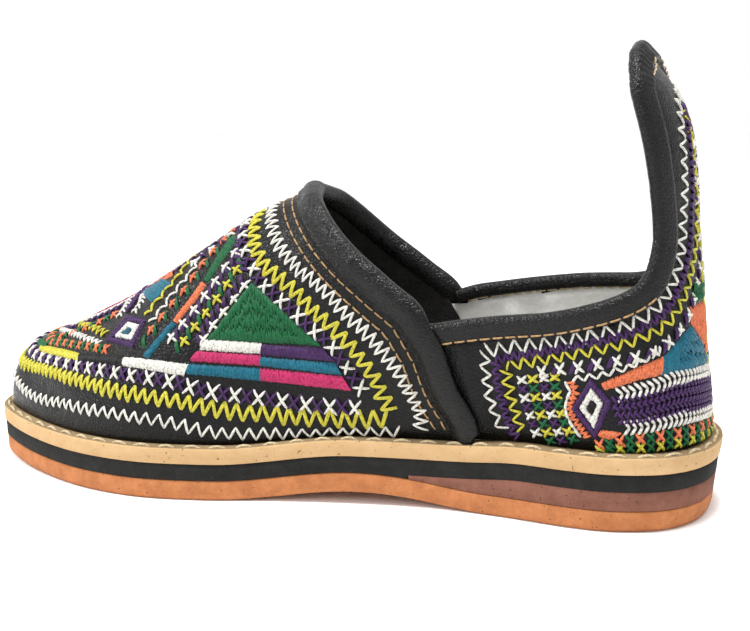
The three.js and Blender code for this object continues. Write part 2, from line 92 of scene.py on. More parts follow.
SECTIONS = table("along outer inner ledge draw spread", [
    (0, -0.065, 0.065, 0.75, 0.35, 0),
    (0.02, 0.141, 0.26, 0.8, 0.35, 0),
    (0.064, 0.26, 0.374, 0.9, 0.3, 0),
    (0.143, 0.386, 0.45, 1, 0.25, 0),
    (0.23, 0.478, 0.483, 1, 0.2, 0),
    (0.314, 0.509, 0.485, 1, 0.2, 0),
    (0.397, 0.474, 0.45, 1, 0.2, 0),
    (0.48, 0.404, 0.385, 1, 0.2, 0.02),
    (0.571, 0.347, 0.315, 1, 0.2, 0.07),
    (0.667, 0.308, 0.293, 1, 0.25, 0.12),
    (0.754, 0.319, 0.317, 1, 0.35, 0.08),
    (0.841, 0.358, 0.358, 1, 0.5, 0.02),
    (0.897, 0.36, 0.36, 0.95, 0.7, 0),
    (0.952, 0.303, 0.303, 0.85, 0.9, 0),
    (0.988, 0.178, 0.178, 0.7, 1, 0),
    (1, 0, 0, 0.65, 1, 0),
])
CROWN = table("along up fullness", [
    (0, 0.27, 2.7), (0.04, 0.292, 2.55), (0.09, 0.334, 2.35), (0.155, 0.415, 2.15), (0.23, 0.526, 2),
    (0.3, 0.658, 2), (0.37, 0.793, 2), (0.44, 0.918, 2.05), (0.484, 0.974, 2.1), (0.54, 1.15, 2.3),
    (0.62, 1.4, 3), (0.74, 1.75, 4.5), (0.87, 2, 7), (1, 2.15, 8),
])
MOUTH = table("along up", [
    (0.464, 1.05), (0.4745, 1), (0.484, 0.972), (0.4975, 0.93), (0.5165, 0.866), (0.539, 0.794),
    (0.5645, 0.722), (0.592, 0.655), (0.6155, 0.597), (0.636, 0.55), (0.6455, 0.516), (0.654, 0.465),
    (0.667, 0.4), (0.6755, 0.32), (0.685, 0.2375), (0.696, 0.181), (0.7047, 0.131), (0.7107, 0.069),
    (0.716, -0.05),
])
MOUTH_CORNER = 10
TOPLINE = table("along up", [
    (0.64, 0.88), (0.7, 0.935), (0.75, 0.978), (0.8, 1.01), (0.85, 1.038), (0.885, 1.065), (0.91, 1.115),
])
TAB_FRONT = table("along up", [
    (0.926, 0.455), (0.932, 0.49), (0.936, 0.54), (0.934, 0.615), (0.927, 0.72), (0.919, 0.8),
    (0.909, 0.875), (0.904, 0.935), (0.903, 0.97), (0.9, 1),
])
BACK_LINE = table("up lean", [
    (0, 0), (0.075, 0), (0.3, 0.11), (0.56, 0.22), (0.745, 0.315), (0.82, 0.4), (0.86, 0.485),
    (0.9, 0.58), (0.935, 0.73), (0.98, 0.87), (1, 1.02),
])


def clamp01(value):
    return min(1.0, max(0.0, value))


def smooth(value):
    s = clamp01(value)
    return s * s * (3 - 2 * s)


def fair_curve(rows, key, column):
    """A column of a table as a smooth function of another, with no swing between its rows."""
    xs = [row[key] for row in rows]
    ys = [row[column] for row in rows]
    slopes = [(ys[i + 1] - ys[i]) / (xs[i + 1] - xs[i]) for i in range(len(xs) - 1)]
    tangents = [slopes[0]]
    for before, after in zip(slopes, slopes[1:]):
        tangents.append(0 if before * after <= 0 else 2 * before * after / (before + after))
    tangents.append(slopes[-1])

    def at(x):
        i = 0
        while i < len(xs) - 2 and x > xs[i + 1]:
            i += 1
        width = xs[i + 1] - xs[i]
        s = clamp01((x - xs[i]) / width)
        value = ys[i] * (1 + 2 * s) * (1 - s) ** 2 + ys[i + 1] * s * s * (3 - 2 * s)
        return value + width * (tangents[i] * s * (1 - s) ** 2 - tangents[i + 1] * s * s * (1 - s))

    return at


def ring_curve(points, p):
    """Place p points along a smooth curve through a closed ring of points."""
    k = math.floor(p)
    s = p - k
    a, b, c, d = (points[(k + step) % len(points)] for step in (-1, 0, 1, 2))
    weights = (2 * s**3 - 3 * s**2 + 1, s**3 - 2 * s**2 + s, 3 * s**2 - 2 * s**3, s**3 - s**2)
    result = []
    for i in range(2):
        terms = (b[i], (c[i] - a[i]) / 2, c[i], (d[i] - b[i]) / 2)
        result.append(sum(term * weight for term, weight in zip(terms, weights)))
    return tuple(result)


def last_below(is_below, high):
    """The last value between 0 and a high end that is still below what is looked for."""
    low = 0.0
    for _ in range(24):
        middle = (low + high) / 2
        if is_below(middle):
            low = middle
        else:
            high = middle
    return low


# Sole outline: a turn of 0 is the toe tip, 0.25 the outer side, 0.5 the heel, 0.75 the inner side
def along_to_x(along):
    return (along - 0.5) * SOLE_LENGTH


def x_to_along(x):
    return x / SOLE_LENGTH + 0.5


EDGE_POINTS = [(along_to_x(row["along"]), -row["outer"] * BALL_WIDTH) for row in SECTIONS]
EDGE_POINTS += [(along_to_x(row["along"]), row["inner"] * BALL_WIDTH) for row in SECTIONS[-2:0:-1]]
RING = len(EDGE_POINTS)
EDGE_STEP = 1 / (3 * RING)
ring_ys = [ring_curve(EDGE_POINTS, k / 3)[1] for k in range(3 * RING)]
MIDDLE = (min(ring_ys) + max(ring_ys)) / 2


def sole_edge(turn):
    x, y = ring_curve(EDGE_POINTS, (turn % 1) * RING)
    return x, y - MIDDLE


def inset_edge(turn, amount):
    x, y = sole_edge(turn)
    before = sole_edge(turn - EDGE_STEP)
    after = sole_edge(turn + EDGE_STEP)
    dx, dy = after[0] - before[0], after[1] - before[1]
    length = math.hypot(dx, dy)
    return x - dy / length * amount, y + dx / length * amount


def section_order(turn):
    turn = turn % 1
    return min(turn, 1 - turn) * RING


ORDERED = [dict(row, order=k) for k, row in enumerate(SECTIONS)]
draw_row = fair_curve(ORDERED, "order", "draw")
ledge_row = fair_curve(ORDERED, "order", "ledge")
spread_at = fair_curve(SECTIONS, "along", "spread")
crown_up = fair_curve(CROWN, "along", "up")
crown_fullness = fair_curve(CROWN, "along", "fullness")
lean_at = fair_curve(BACK_LINE, "up", "lean")


# Heights of the sole's layers
def ground_at(along):
    spring = TOE_SPRING * clamp01((SPRING_END - along) / SPRING_END) ** 2
    arch = clamp01((along - ARCH_START) / (ARCH_END - ARCH_START))
    return spring + ARCH_LIFT * math.sin(math.pi * arch) ** 2


def rise_at(along):
    return (WEDGE + GAP) * smooth((along - RISE_START) / (RISE_END - RISE_START))


def outsole_top(along):
    return ground_at(along) + OUTSOLE


def midsole_bottom(along):
    return outsole_top(along) + GAP + rise_at(along)


def welt_bottom(along):
    return midsole_bottom(along) + MIDSOLE + GAP


def deck_at(along):
    return welt_bottom(along) + WELT


# The upper's outer form, from the feather line on the deck up to the crown
FEATHER_STEPS = 720
FEATHER = [
    inset_edge(k / FEATHER_STEPS, LEDGE * ledge_row(section_order(k / FEATHER_STEPS)))
    for k in range(FEATHER_STEPS)
]
TOE_X = FEATHER[0][0]
HEEL_X = FEATHER[FEATHER_STEPS // 2][0]


def feather(turn):
    p = (turn % 1) * FEATHER_STEPS
    k = int(p)
    s = p - k
    a, b = FEATHER[k % FEATHER_STEPS], FEATHER[(k + 1) % FEATHER_STEPS]
    return a[0] + (b[0] - a[0]) * s, a[1] + (b[1] - a[1]) * s


def crown_height(x):
    return FOREFOOT_DECK + INSTEP * crown_up(clamp01(x_to_along(x)))


def feather_height(x):
    return deck_at(x_to_along(x)) + GAP


def crown_x(x):
    toe_share = clamp01((x - TOE_X) / FAN)
    heel_share = clamp01((HEEL_X - x) / FAN)
    return x + TOE_SETBACK * (1 - toe_share) ** 2 - HEEL_SETBACK * (1 - heel_share) ** 2


def axis_y(x):
    share = clamp01((x - TOE_X) / (2 * FAN))
    return FEATHER[0][1] * (1 - share) ** 2 + FEATHER[FEATHER_STEPS // 2][1] * smooth(share)


def lean_forward(x, z):
    share = smooth((x_to_along(x) - LEAN_START) / (LEAN_FULL - LEAN_START))
    return TAB_LEAN * share * lean_at(max(0, (z - FOREFOOT_DECK) / TAB))


def turn_in(climb, fullness):
    """How far a wall has turned in to the ridge at a climb: late and sharply where the form is full."""
    return 1 - (1 - climb**fullness) ** (1 / fullness)


def wall(turn, climb):
    """Place on the outer form at a turn round the sole, climb 0 at the feather line and 1 at the crown."""
    turn = turn % 1
    x0, y0 = feather(turn)
    side = 0 if turn in (0, 0.5) else (-1 if turn < 0.5 else 1)
    z0 = feather_height(x0)
    inward = turn_in(clamp01(climb), crown_fullness(clamp01(x_to_along(x0))))
    x = x0 + (crown_x(x0) - x0) * inward
    z = z0 + (crown_height(x) - z0) * climb
    leaned = 1 - (1 - clamp01((z - z0) / QUARTER)) ** 2
    spread = side * QUARTER * spread_at(clamp01(x_to_along(x0))) * leaned * (1 - inward)
    return Vector((x - lean_forward(x, z), y0 + (axis_y(x) - y0) * inward + spread, z))


def wall_spot(x, z, side):
    """The turn and climb at which the wall of one side passes a place of the side view."""
    upright = x
    for _ in range(12):
        upright = x + lean_forward(upright, z)
    low, high = 0.0, 0.5
    climb = 0
    for _ in range(22):
        middle = (low + high) / 2
        x0 = feather(middle if side < 0 else 1 - middle)[0]
        z0 = feather_height(x0)
        climb = clamp01((z - z0) / (crown_height(upright) - z0))
        inward = turn_in(climb, crown_fullness(clamp01(x_to_along(x0))))
        if x0 + (crown_x(x0) - x0) * inward < upright:
            low = middle
        else:
            high = middle
    turn = (low + high) / 2
    return (turn if side < 0 else 1 - turn), climb


# Lines of the side view
def from_instep(row):
    return along_to_x(row["along"]), FOREFOOT_DECK + row["up"] * INSTEP


MOUTH_LINE = [from_instep(row) for row in MOUTH]
CORNER_HEIGHT = MOUTH_LINE[MOUTH_CORNER][1]
EDGE_ROWS = [(along_to_x(row["along"]), FOREFOOT_DECK + row["up"] * QUARTER) for row in TOPLINE]
EDGE_ROWS += [(along_to_x(row["along"]), FOREFOOT_DECK + row["up"] * TAB) for row in TAB_FRONT]


def open_curve(points, steps):
    """Points spread along a smooth curve through points, with free ends."""
    first = tuple(2 * a - b for a, b in zip(points[0], points[1]))
    last = tuple(2 * a - b for a, b in zip(points[-1], points[-2]))
    padded = [first, *points, last]
    result = []
    for k in range(steps + 1):
        p = k / steps * (len(points) - 1)
        i = min(int(p), len(points) - 2)
        s = p - i
        a, b, c, d = padded[i:i + 4]
        result.append(tuple(
            b[n] + s * (c[n] - a[n]) / 2 + s * s * (a[n] - 2.5 * b[n] + 2 * c[n] - d[n] / 2)
            + s**3 * (1.5 * b[n] - a[n] / 2 - 1.5 * c[n] + d[n] / 2)
            for n in range(len(b))
        ))
    return result


EDGE_LINE = open_curve(EDGE_ROWS, 30)


def mouth_x(z):
    """Where the roll's middle line stands at a height, before the skew."""
    if z >= MOUTH_LINE[0][1]:
        return MOUTH_LINE[0][0]
    for (x0, z0), (x1, z1) in zip(MOUTH_LINE, MOUTH_LINE[1:]):
        if z >= z1:
            return x0 + (x1 - x0) * (z0 - z) / (z0 - z1)
    return MOUTH_LINE[-1][0]


def behind_mouth(point):
    """How far a point lies behind the roll's middle line, in the side view."""
    return point.x + MOUTH_SKEW * point.y - mouth_x(point.z)


# Soft creases of the worn leather, in the side view. depth in mm, below zero for a ridge.
CREASES = table("part side x0 z0 x1 z1 depth width", [
    ("vamp", -1, -18, 72, 6, 60, 0.9, 3.2),
    ("vamp", -1, -6, 52, 22, 40, 0.8, 3.5),
    ("vamp", -1, -34, 62, -22, 44, 0.6, 4),
    ("vamp", 1, -14, 74, 8, 60, 0.8, 3.4),
    ("vamp", 1, -30, 60, -18, 40, 0.7, 4),
    ("vamp", -1, 18, 42, 34, 30, 0.8, 2.6),
    ("vamp", -1, 26, 48, 40, 34, -0.6, 2.6),
    ("vamp", -1, 30, 40, 44, 24, 0.6, 2.2),
    ("vamp", -1, -104, 30, -84, 26, 0.7, 4),
    ("vamp", 1, -100, 31, -80, 27, 0.7, 4),
    ("quarter", -1, 53, 54, 58, 30, -0.6, 2.2),
    ("quarter", -1, 57, 54, 62, 26, 1, 2),
    ("quarter", -1, 63, 52, 65, 30, -0.5, 2.2),
    ("quarter", -1, 68, 54, 68, 30, 0.6, 2),
    ("quarter", 1, 56, 54, 60, 28, 0.9, 2.2),
    ("quarter", 1, 64, 52, 66, 30, -0.5, 2.4),
    ("quarter", -1, 100, 64, 116, 54, 0.7, 3),
    ("quarter", 1, 100, 64, 116, 54, 0.7, 3),
    ("quarter", -1, 104, 84, 118, 88, 0.4, 3.5),
    ("quarter", 1, 104, 80, 118, 84, 0.4, 3.5),
])


def crease_depth(part, point):
    """Depth of all creases of a part at a point of its wall."""
    side = -1 if point.y < axis_y(point.x) else 1
    depth = 0
    for row in CREASES:
        if row["part"] != part or row["side"] != side:
            continue
        dx, dz = row["x1"] - row["x0"], row["z1"] - row["z0"]
        share = clamp01(((point.x - row["x0"]) * dx + (point.z - row["z0"]) * dz) / (dx * dx + dz * dz))
        gap = math.hypot(point.x - row["x0"] - dx * share, point.z - row["z0"] - dz * share)
        depth += row["depth"] * math.exp(-(gap / row["width"]) ** 2)
    return depth


# Finishes
def linear(hex_colour):
    channels = [int(hex_colour[i:i + 2], 16) / 255 for i in (1, 3, 5)]
    return [c / 12.92 if c <= 0.04045 else ((c + 0.055) / 1.055) ** 2.4 for c in channels] + [1]


def add_node(tree, kind, settings=None, links=None):
    node = tree.nodes.new(kind)
    for name, value in (settings or {}).items():
        if isinstance(name, str) and hasattr(node, name):
            setattr(node, name, value)
        else:
            node.inputs[name].default_value = value
    for name, source in (links or {}).items():
        tree.links.new(source, node.inputs[name])
    return node


def ramp(tree, factor, stops):
    """Colours, or greys, that follow a pattern, each with the value of the pattern that it stands at."""
    node = add_node(tree, "ShaderNodeValToRGB", links={"Fac": factor})
    elements = node.color_ramp.elements
    while len(elements) < len(stops):
        elements.new(0.5)
    for element, (place, colour) in zip(elements, stops):
        element.position = place
        element.color = colour
    return node.outputs["Color"]


def grey(value):
    return (value, value, value, 1)


def new_finish(name, settings):
    """A material with its shader, and the Object coordinates for its patterns."""
    material = bpy.data.materials.new(name)
    material.use_nodes = True
    tree = material.node_tree
    tree.nodes.clear()
    shader = add_node(tree, "ShaderNodeBsdfPrincipled", settings)
    output = add_node(tree, "ShaderNodeOutputMaterial")
    tree.links.new(shader.outputs["BSDF"], output.inputs["Surface"])
    place = add_node(tree, "ShaderNodeTexCoord").outputs["Object"]
    return material, tree, shader, place


def per_mm(size):
    """Texture scale that gives a pattern of a size in millimetres on Object coordinates in metres."""
    return 1 / (size * MM)


def noise(tree, place, size, detail=2, rough=0.5):
    settings = {"Scale": per_mm(size), "Detail": detail, "Roughness": rough}
    return add_node(tree, "ShaderNodeTexNoise", settings, {"Vector": place}).outputs["Fac"]


def relief(tree, shader, layers):
    """Bumps laid over each other, each a height output and its depth in millimetres."""
    normal = None
    for height, depth in layers:
        links = {"Height": height}
        if normal is not None:
            links["Normal"] = normal
        bump = add_node(tree, "ShaderNodeBump", {"Distance": depth * MM, "Strength": 1}, links)
        normal = bump.outputs["Normal"]
    tree.links.new(normal, shader.inputs["Normal"])


def tinted(tree, shader, pattern, low, high):
    """Base colour that runs from one value of a pattern to another, each a place and a linear colour."""
    tree.links.new(ramp(tree, pattern, [low, high]), shader.inputs["Base Color"])


def goatskin(name, dark, light, gloss, shine):
    """Goatskin, pigmented and plated: fine pebbled grain, a soft sheen that breaks up over the pores."""
    settings = {"IOR": 1.5, "Specular IOR Level": shine}
    material, tree, shader, place = new_finish(name, settings)
    cloud = noise(tree, place, 14, 4, 0.6)
    tinted(tree, shader, cloud, (0.3, linear(dark)), (0.75, linear(light)))
    # The grain is about 0.5 mm wide in the hand and drawn coarser, so that it shows
    settings = {"Scale": per_mm(1.15), "feature": "DISTANCE_TO_EDGE"}
    grain = add_node(tree, "ShaderNodeTexVoronoi", settings, {"Vector": place}).outputs["Distance"]
    pebble = ramp(tree, grain, [(0, grey(0)), (0.22, grey(1))])
    wrinkle = noise(tree, place, 3.2, 5, 0.62)
    rough = ramp(tree, noise(tree, place, 2.2, 3), [(0.3, grey(gloss - 0.07)), (0.7, grey(gloss + 0.1))])
    tree.links.new(rough, shader.inputs["Roughness"])
    relief(tree, shader, [(wrinkle, 0.4), (pebble, 0.09)])
    return material


def suede(name, dark, light):
    """Split leather lining: no grain, a short nap that is dull and slightly blotched."""
    settings = {"IOR": 1.5, "Roughness": 0.85, "Sheen Weight": 0.25}
    material, tree, shader, place = new_finish(name, settings)
    cloud = noise(tree, place, 9, 5, 0.65)
    tinted(tree, shader, cloud, (0.3, linear(dark)), (0.7, linear(light)))
    relief(tree, shader, [(noise(tree, place, 2.4, 4), 0.25), (noise(tree, place, 0.7, 3), 0.08)])
    return material


def crumb_rubber(name, dark, light, pit_fleck_and_shade, crumb, cloud_size=16):
    """Sheet of bonded crumb or crepe rubber, cut and sanded: fine mottle, pinholes, quite dull. A pinhole
    darker than the sheet is painted shade in its pit.
    """
    settings = {"IOR": 1.5, "Roughness": 0.88, "Specular IOR Level": 0.2}
    material, tree, shader, place = new_finish(name, settings)
    cloud = noise(tree, place, cloud_size, 6, 0.75)
    mottle = ramp(tree, cloud, [(0.32, linear(dark)), (0.68, linear(light))])
    pinhole = noise(tree, place, crumb, 1)
    # Speck colour in the pinholes: painted shade in the pits where it is darker than the sheet, the sheet's
    # own lighter fleck where it is lighter, as in the black foam
    mask = ramp(tree, pinhole, [(0.74, grey(0)), (0.78, grey(1))])
    mix = add_node(tree, "ShaderNodeMix", {"data_type": "RGBA"}, {0: mask, 6: mottle})
    mix.inputs[7].default_value = linear(pit_fleck_and_shade)
    tree.links.new(mix.outputs[2], shader.inputs["Base Color"])
    grit = noise(tree, place, crumb * 0.8, 3, 0.6)
    hole = ramp(tree, pinhole, [(0.7, grey(1)), (0.78, grey(0))])
    relief(tree, shader, [(noise(tree, place, crumb * 3, 3), 0.25), (grit, 0.16), (hole, 0.2)])
    return material


def floss(name, colour):
    """Loosely twisted embroidery floss: a silky gloss, with painted shade between its plies and a painted
    highlight on them.
    """
    settings = {"IOR": 1.5, "Roughness": 0.4, "Specular IOR Level": 0.2}
    material, tree, shader, place = new_finish(name, settings)
    base = linear(colour)
    painted_ply_shade = [c * 0.5 for c in base[:3]] + [1]
    painted_ply_highlight = [min(1, c * 1.15 + 0.005) for c in base[:3]] + [1]
    # The plies are finer than this in the hand and drawn coarser, so that they show
    ply_relief_and_light = noise(tree, place, 0.6, 3, 0.6)
    # Painted light: the colour falls to half in the hollows between the plies and brightens on their crests
    tinted(tree, shader, ply_relief_and_light, (0.3, painted_ply_shade), (0.6, painted_ply_highlight))
    relief(tree, shader, [(ply_relief_and_light, 0.2)])
    return material


black_goatskin = goatskin("black_goatskin", "#070707", "#111110", 0.31, 0.17)
roll_goatskin = goatskin("roll_goatskin", "#070707", "#121211", 0.3, 0.22)
# The vamp's lining is drawn near-black; where it lies in shade inside the mouth, this darkness is partly
# painted shade
dark_lining_and_shade = goatskin("dark_lining_leather_and_shade", "#131312", "#2a2928", 0.46, 0.2)
pale_split = suede("pale_split_leather", "#b8b7b2", "#cfcec9")
grey_split = suede("grey_split_leather", "#837f77", "#979389")
cream_crepe = crumb_rubber("cream_crepe", "#ac8b61", "#bd9e75", "#433222", 0.9)
handled_crepe = crumb_rubber("handled_crepe", "#705f46", "#907c5c", "#372b1f", 0.9)
black_foam = crumb_rubber("black_foam", "#161615", "#232322", "#40403d", 0.7, 5)
orange_crumb = crumb_rubber("orange_crumb", "#985e39", "#b5764a", "#643a20", 0.8, 5)
mauve_crumb = crumb_rubber("mauve_crumb", "#664235", "#7d5345", "#422922", 0.8, 5)
THREADS = {
    "white": "#c8c6be", "yellow": "#b3ab37", "purple": "#371a49", "green": "#05502b", "coral": "#c56843",
    "teal": "#0b596d", "pink": "#a82557", "magenta": "#8a1f47", "tan": "#9a7b54", "black": "#0a0a0a",
    "cream": "#b9a684", "deep_teal": "#0d4756",
}
floss_of = {name: floss(name + "_floss", colour) for name, colour in THREADS.items()}


# Pieces
def mapped_grid(columns, rows, place, welded=False):
    """A grid whose two directions, each 0 to 1, are laid out by a function of the shoe's own sizes."""
    shape = bmesh.new()
    bmesh.ops.create_grid(shape, x_segments=columns, y_segments=rows, size=0.5)
    for vert in shape.verts:
        vert.co = place(vert.co.x + 0.5, vert.co.y + 0.5)
    if welded:
        bmesh.ops.remove_doubles(shape, verts=shape.verts, dist=0.002)
    shape.normal_update()
    return shape


def closed(shape):
    """Closes a shape's open ends and turns its faces outwards."""
    bmesh.ops.holes_fill(shape, edges=[edge for edge in shape.edges if edge.is_boundary], sides=0)
    bmesh.ops.recalc_face_normals(shape, faces=shape.faces)


def piece_of(name, mesh, finishes):
    for face in mesh.polygons:
        face.use_smooth = True
    for finish in finishes:
        mesh.materials.append(finish)
    piece = bpy.data.objects.new(name, mesh)
    bpy.context.scene.collection.objects.link(piece)
    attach(piece, "root")
    return piece


def piece_from(name, shape, finishes):
    """A piece from a bmesh in millimetres."""
    bmesh.ops.scale(shape, vec=(MM, MM, MM), verts=shape.verts)
    mesh = bpy.data.meshes.new(name)
    shape.to_mesh(mesh)
    shape.free()
    return piece_of(name, mesh, finishes)


def thicken(piece, thickness):
    """Gives leather its thickness on the inner side, which takes the second finish as its lining."""
    leather = piece.modifiers.new("leather", "SOLIDIFY")
    leather.thickness = thickness * MM
    leather.offset = -1
    leather.material_offset = 1
    leather.material_offset_rim = 0


# Sole layers: each a closed grid from the axis below, out round the side and back to the axis above.
# A layer that starts along the sole has its front on a share of the grid at each end.
SOLE_COLUMNS = 360
FRONT_SHARE = 0.03


def rim(turn, depth, extra):
    """Place on a layer's side at a turn, at a depth below the welt's top and an extra inset."""
    return inset_edge(turn, EDGE_DRAW * draw_row(section_order(turn)) * depth / HEEL_STACK + extra)


def starts_at(along):
    """Turns of the outer and the inner side at which the sole's edge is a share along."""
    x = along_to_x(along)
    outer = last_below(lambda turn: sole_edge(turn)[0] < x, 0.5)
    inner = last_below(lambda turn: sole_edge(1 - turn)[0] < x, 0.5)
    return outer, 1 - inner


def sole_layer(name, profile, finish, from_along=0.0, ledge=None):
    """profile: rows of depth below the welt's top, extra inset, height function and lift in mm."""
    rows = [profile[0], *profile, profile[-1]]
    last = len(rows) - 1
    outer_start, inner_start = starts_at(from_along)

    def round_rim(u, depth, amount):
        if from_along == 0:
            return rim(u, depth, amount)
        if FRONT_SHARE <= u <= 1 - FRONT_SHARE:
            share = (u - FRONT_SHARE) / (1 - 2 * FRONT_SHARE)
            return rim(outer_start + (inner_start - outer_start) * share, depth, amount)
        ends = [rim(turn, depth, amount) for turn in (outer_start, inner_start)]
        share = 0.5 + (u if u < 0.5 else u - 1) / (2 * FRONT_SHARE)
        return tuple(b + (a - b) * share for a, b in zip(*ends))

    def place(u, v):
        row = round(v * last)
        depth, extra, height, lift = rows[row]
        amount = extra(u) if callable(extra) else extra
        x, y = round_rim(u, depth, amount)
        if row in (0, last):
            other = round_rim(1 - u, depth, amount)
            x, y = (x + other[0]) / 2, (y + other[1]) / 2
        lifted = lift(u) if callable(lift) else lift
        return Vector((x, y, height(x_to_along(x)) + lifted))

    shape = mapped_grid(SOLE_COLUMNS, last, place, welded=True)
    bmesh.ops.dissolve_degenerate(shape, dist=0.001, edges=shape.edges)
    bmesh.ops.recalc_face_normals(shape, faces=shape.faces)
    if ledge:
        for face in shape.faces:
            face.material_index = 1 if face.normal.z > 0.6 else 0
    return piece_from(name, shape, [finish, ledge] if ledge else [finish])


OUTSOLE_FOOT = HEEL_STACK
outsole = sole_layer("outsole_sheet", [
    (OUTSOLE_FOOT, 4, ground_at, 0),
    (OUTSOLE_FOOT, EDGE_ROUND, ground_at, 0),
    (OUTSOLE_FOOT, EDGE_ROUND * 0.6, ground_at, EDGE_ROUND * 0.1),
    (OUTSOLE_FOOT, EDGE_ROUND * 0.25, ground_at, EDGE_ROUND * 0.35),
    (OUTSOLE_FOOT - 1, 0, ground_at, EDGE_ROUND),
    (OUTSOLE_FOOT - 3.2, -0.1, ground_at, OUTSOLE * 0.5),
    (OUTSOLE_FOOT - 5.6, 0, outsole_top, -0.6),
    (OUTSOLE_FOOT - OUTSOLE, 0.15, outsole_top, -0.15),
    (OUTSOLE_FOOT - OUTSOLE, 0.5, outsole_top, 0),
    (OUTSOLE_FOOT - OUTSOLE, 5, outsole_top, 0),
], orange_crumb)
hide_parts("outsole")


def wedge_bottom(along):
    return outsole_top(along) + GAP * 0.2


def wedge_top(along):
    return outsole_top(along) + max(GAP * 0.4, rise_at(along) + GAP * 0.8)


WEDGE_FOOT = HEEL_STACK - OUTSOLE
heel_wedge = sole_layer("heel_wedge_sheet", [
    (WEDGE_FOOT, 5, wedge_bottom, 0),
    (WEDGE_FOOT, 0.4, wedge_bottom, 0),
    (WEDGE_FOOT - 0.4, 0.1, wedge_bottom, 0.15),
    (WEDGE_FOOT - WEDGE + 0.4, 0.1, wedge_top, -0.15),
    (WEDGE_FOOT - WEDGE, 0.4, wedge_top, 0),
    (WEDGE_FOOT - WEDGE, 5, wedge_top, 0),
], mauve_crumb, from_along=WEDGE_START)
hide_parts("heel_wedge")


def foam_bottom(along):
    """The foam lies on the outsole up to the wedge's front and on the wedge behind it."""
    if along < WEDGE_START:
        return outsole_top(along) + GAP
    return midsole_bottom(along)


midsole = sole_layer("midsole_sheet", [
    (WELT + MIDSOLE, 5, foam_bottom, -0.2),
    (WELT + MIDSOLE, 0.5, foam_bottom, -0.2),
    (WELT + MIDSOLE - 0.4, 0.15, foam_bottom, 0.1),
    (WELT + MIDSOLE / 2, 0.25, midsole_bottom, MIDSOLE / 2),
    (WELT + 0.4, 0.15, midsole_bottom, MIDSOLE),
    (WELT, 0.5, midsole_bottom, MIDSOLE + 0.2),
    (WELT, 5, midsole_bottom, MIDSOLE + 0.2),
], black_foam)
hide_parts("midsole")

# Welt with a sanded side, a softened lip and a sewn channel along its ledge
SEAM_INSET = 1.9
WELT_STITCH = 8.2
SEAM_STEPS = 400
SEAM_MARKS = [0.0]
for k in range(SEAM_STEPS):
    ends = [inset_edge(n / SEAM_STEPS, SEAM_INSET) for n in (k, k + 1)]
    SEAM_MARKS.append(SEAM_MARKS[-1] + math.dist(*ends))
WELT_STITCHES = round(SEAM_MARKS[-1] / WELT_STITCH)


def seam_phase(turn):
    """How many stitches of the welt lie before a turn."""
    p = (turn % 1) * SEAM_STEPS
    k = int(p)
    length = SEAM_MARKS[k] + (SEAM_MARKS[min(SEAM_STEPS, k + 1)] - SEAM_MARKS[k]) * (p - k)
    return length / SEAM_MARKS[-1] * WELT_STITCHES


def pulled(amount):
    """Depth of the channel: deepest where the awl went in."""
    return lambda turn: -amount * (0.35 + 0.65 * abs(math.cos(math.pi * seam_phase(turn))) ** 6)


def lip_wave(turn):
    """Dip of the welt's lip beside each hole of the seam."""
    return -0.12 * abs(math.cos(math.pi * seam_phase(turn))) ** 4


welt = sole_layer("welt_sheet", [
    (WELT, 5, welt_bottom, -0.1),
    (WELT, 0.4, welt_bottom, -0.1),
    (WELT - 0.4, 0, welt_bottom, 0.2),
    (WELT / 2, -0.1, welt_bottom, WELT / 2),
    (0.7, 0, deck_at, -0.75),
    (0.2, 0.2, deck_at, -0.2),
    (0, 0.55, deck_at, lip_wave),
    (0, 1.1, deck_at, pulled(0.2)),
    (0, 1.6, deck_at, pulled(0.75)),
    (0, 2.2, deck_at, pulled(0.75)),
    (0, 2.8, deck_at, pulled(0.15)),
    (0, 3.6, deck_at, 0),
    (0, 8, deck_at, 0),
], cream_crepe, ledge=handled_crepe)
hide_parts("welt")


# Insole, softly crowned at its edge
INSOLE_SECTION = [(6, 0), (0, 0), (0.1, INSOLE * 0.6), (1.2, INSOLE - 0.2), (3, INSOLE), (8, INSOLE)]


def insole_place(u, v):
    last = len(INSOLE_SECTION) - 1
    row = round(v * last)
    extra, lift = INSOLE_SECTION[row]
    margin = LEDGE * ledge_row(section_order(u)) + QUARTER_WALL + VAMP_STEP + INSOLE_MARGIN + extra
    x, y = inset_edge(u, margin)
    if row in (0, last):
        other = inset_edge(1 - u, margin)
        x, y = (x + other[0]) / 2, (y + other[1]) / 2
    return Vector((x, y, deck_at(x_to_along(x)) + GAP + lift))


insole_shape = mapped_grid(240, len(INSOLE_SECTION) - 1, insole_place, welded=True)
bmesh.ops.recalc_face_normals(insole_shape, faces=insole_shape.faces)
insole = piece_from("insole_sock", insole_shape, [grey_split])
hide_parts("insole")

# Leather of vamp and quarters, cut from the same form
FORM_COLUMNS = 400
FORM_ROWS = 64


def form_place(u, v):
    return wall(u, math.sin(v * math.pi / 2))


def cut_away(shape, unwanted):
    faces = [face for face in shape.faces if unwanted(face.calc_center_median())]
    bmesh.ops.delete(shape, geom=faces, context="FACES")


def sunk(shape, depth_at):
    """Moves every point of a surface inwards by a depth."""
    moves = [(vert, vert.normal * depth_at(vert.co)) for vert in shape.verts]
    for vert, move in moves:
        vert.co -= move
    shape.normal_update()


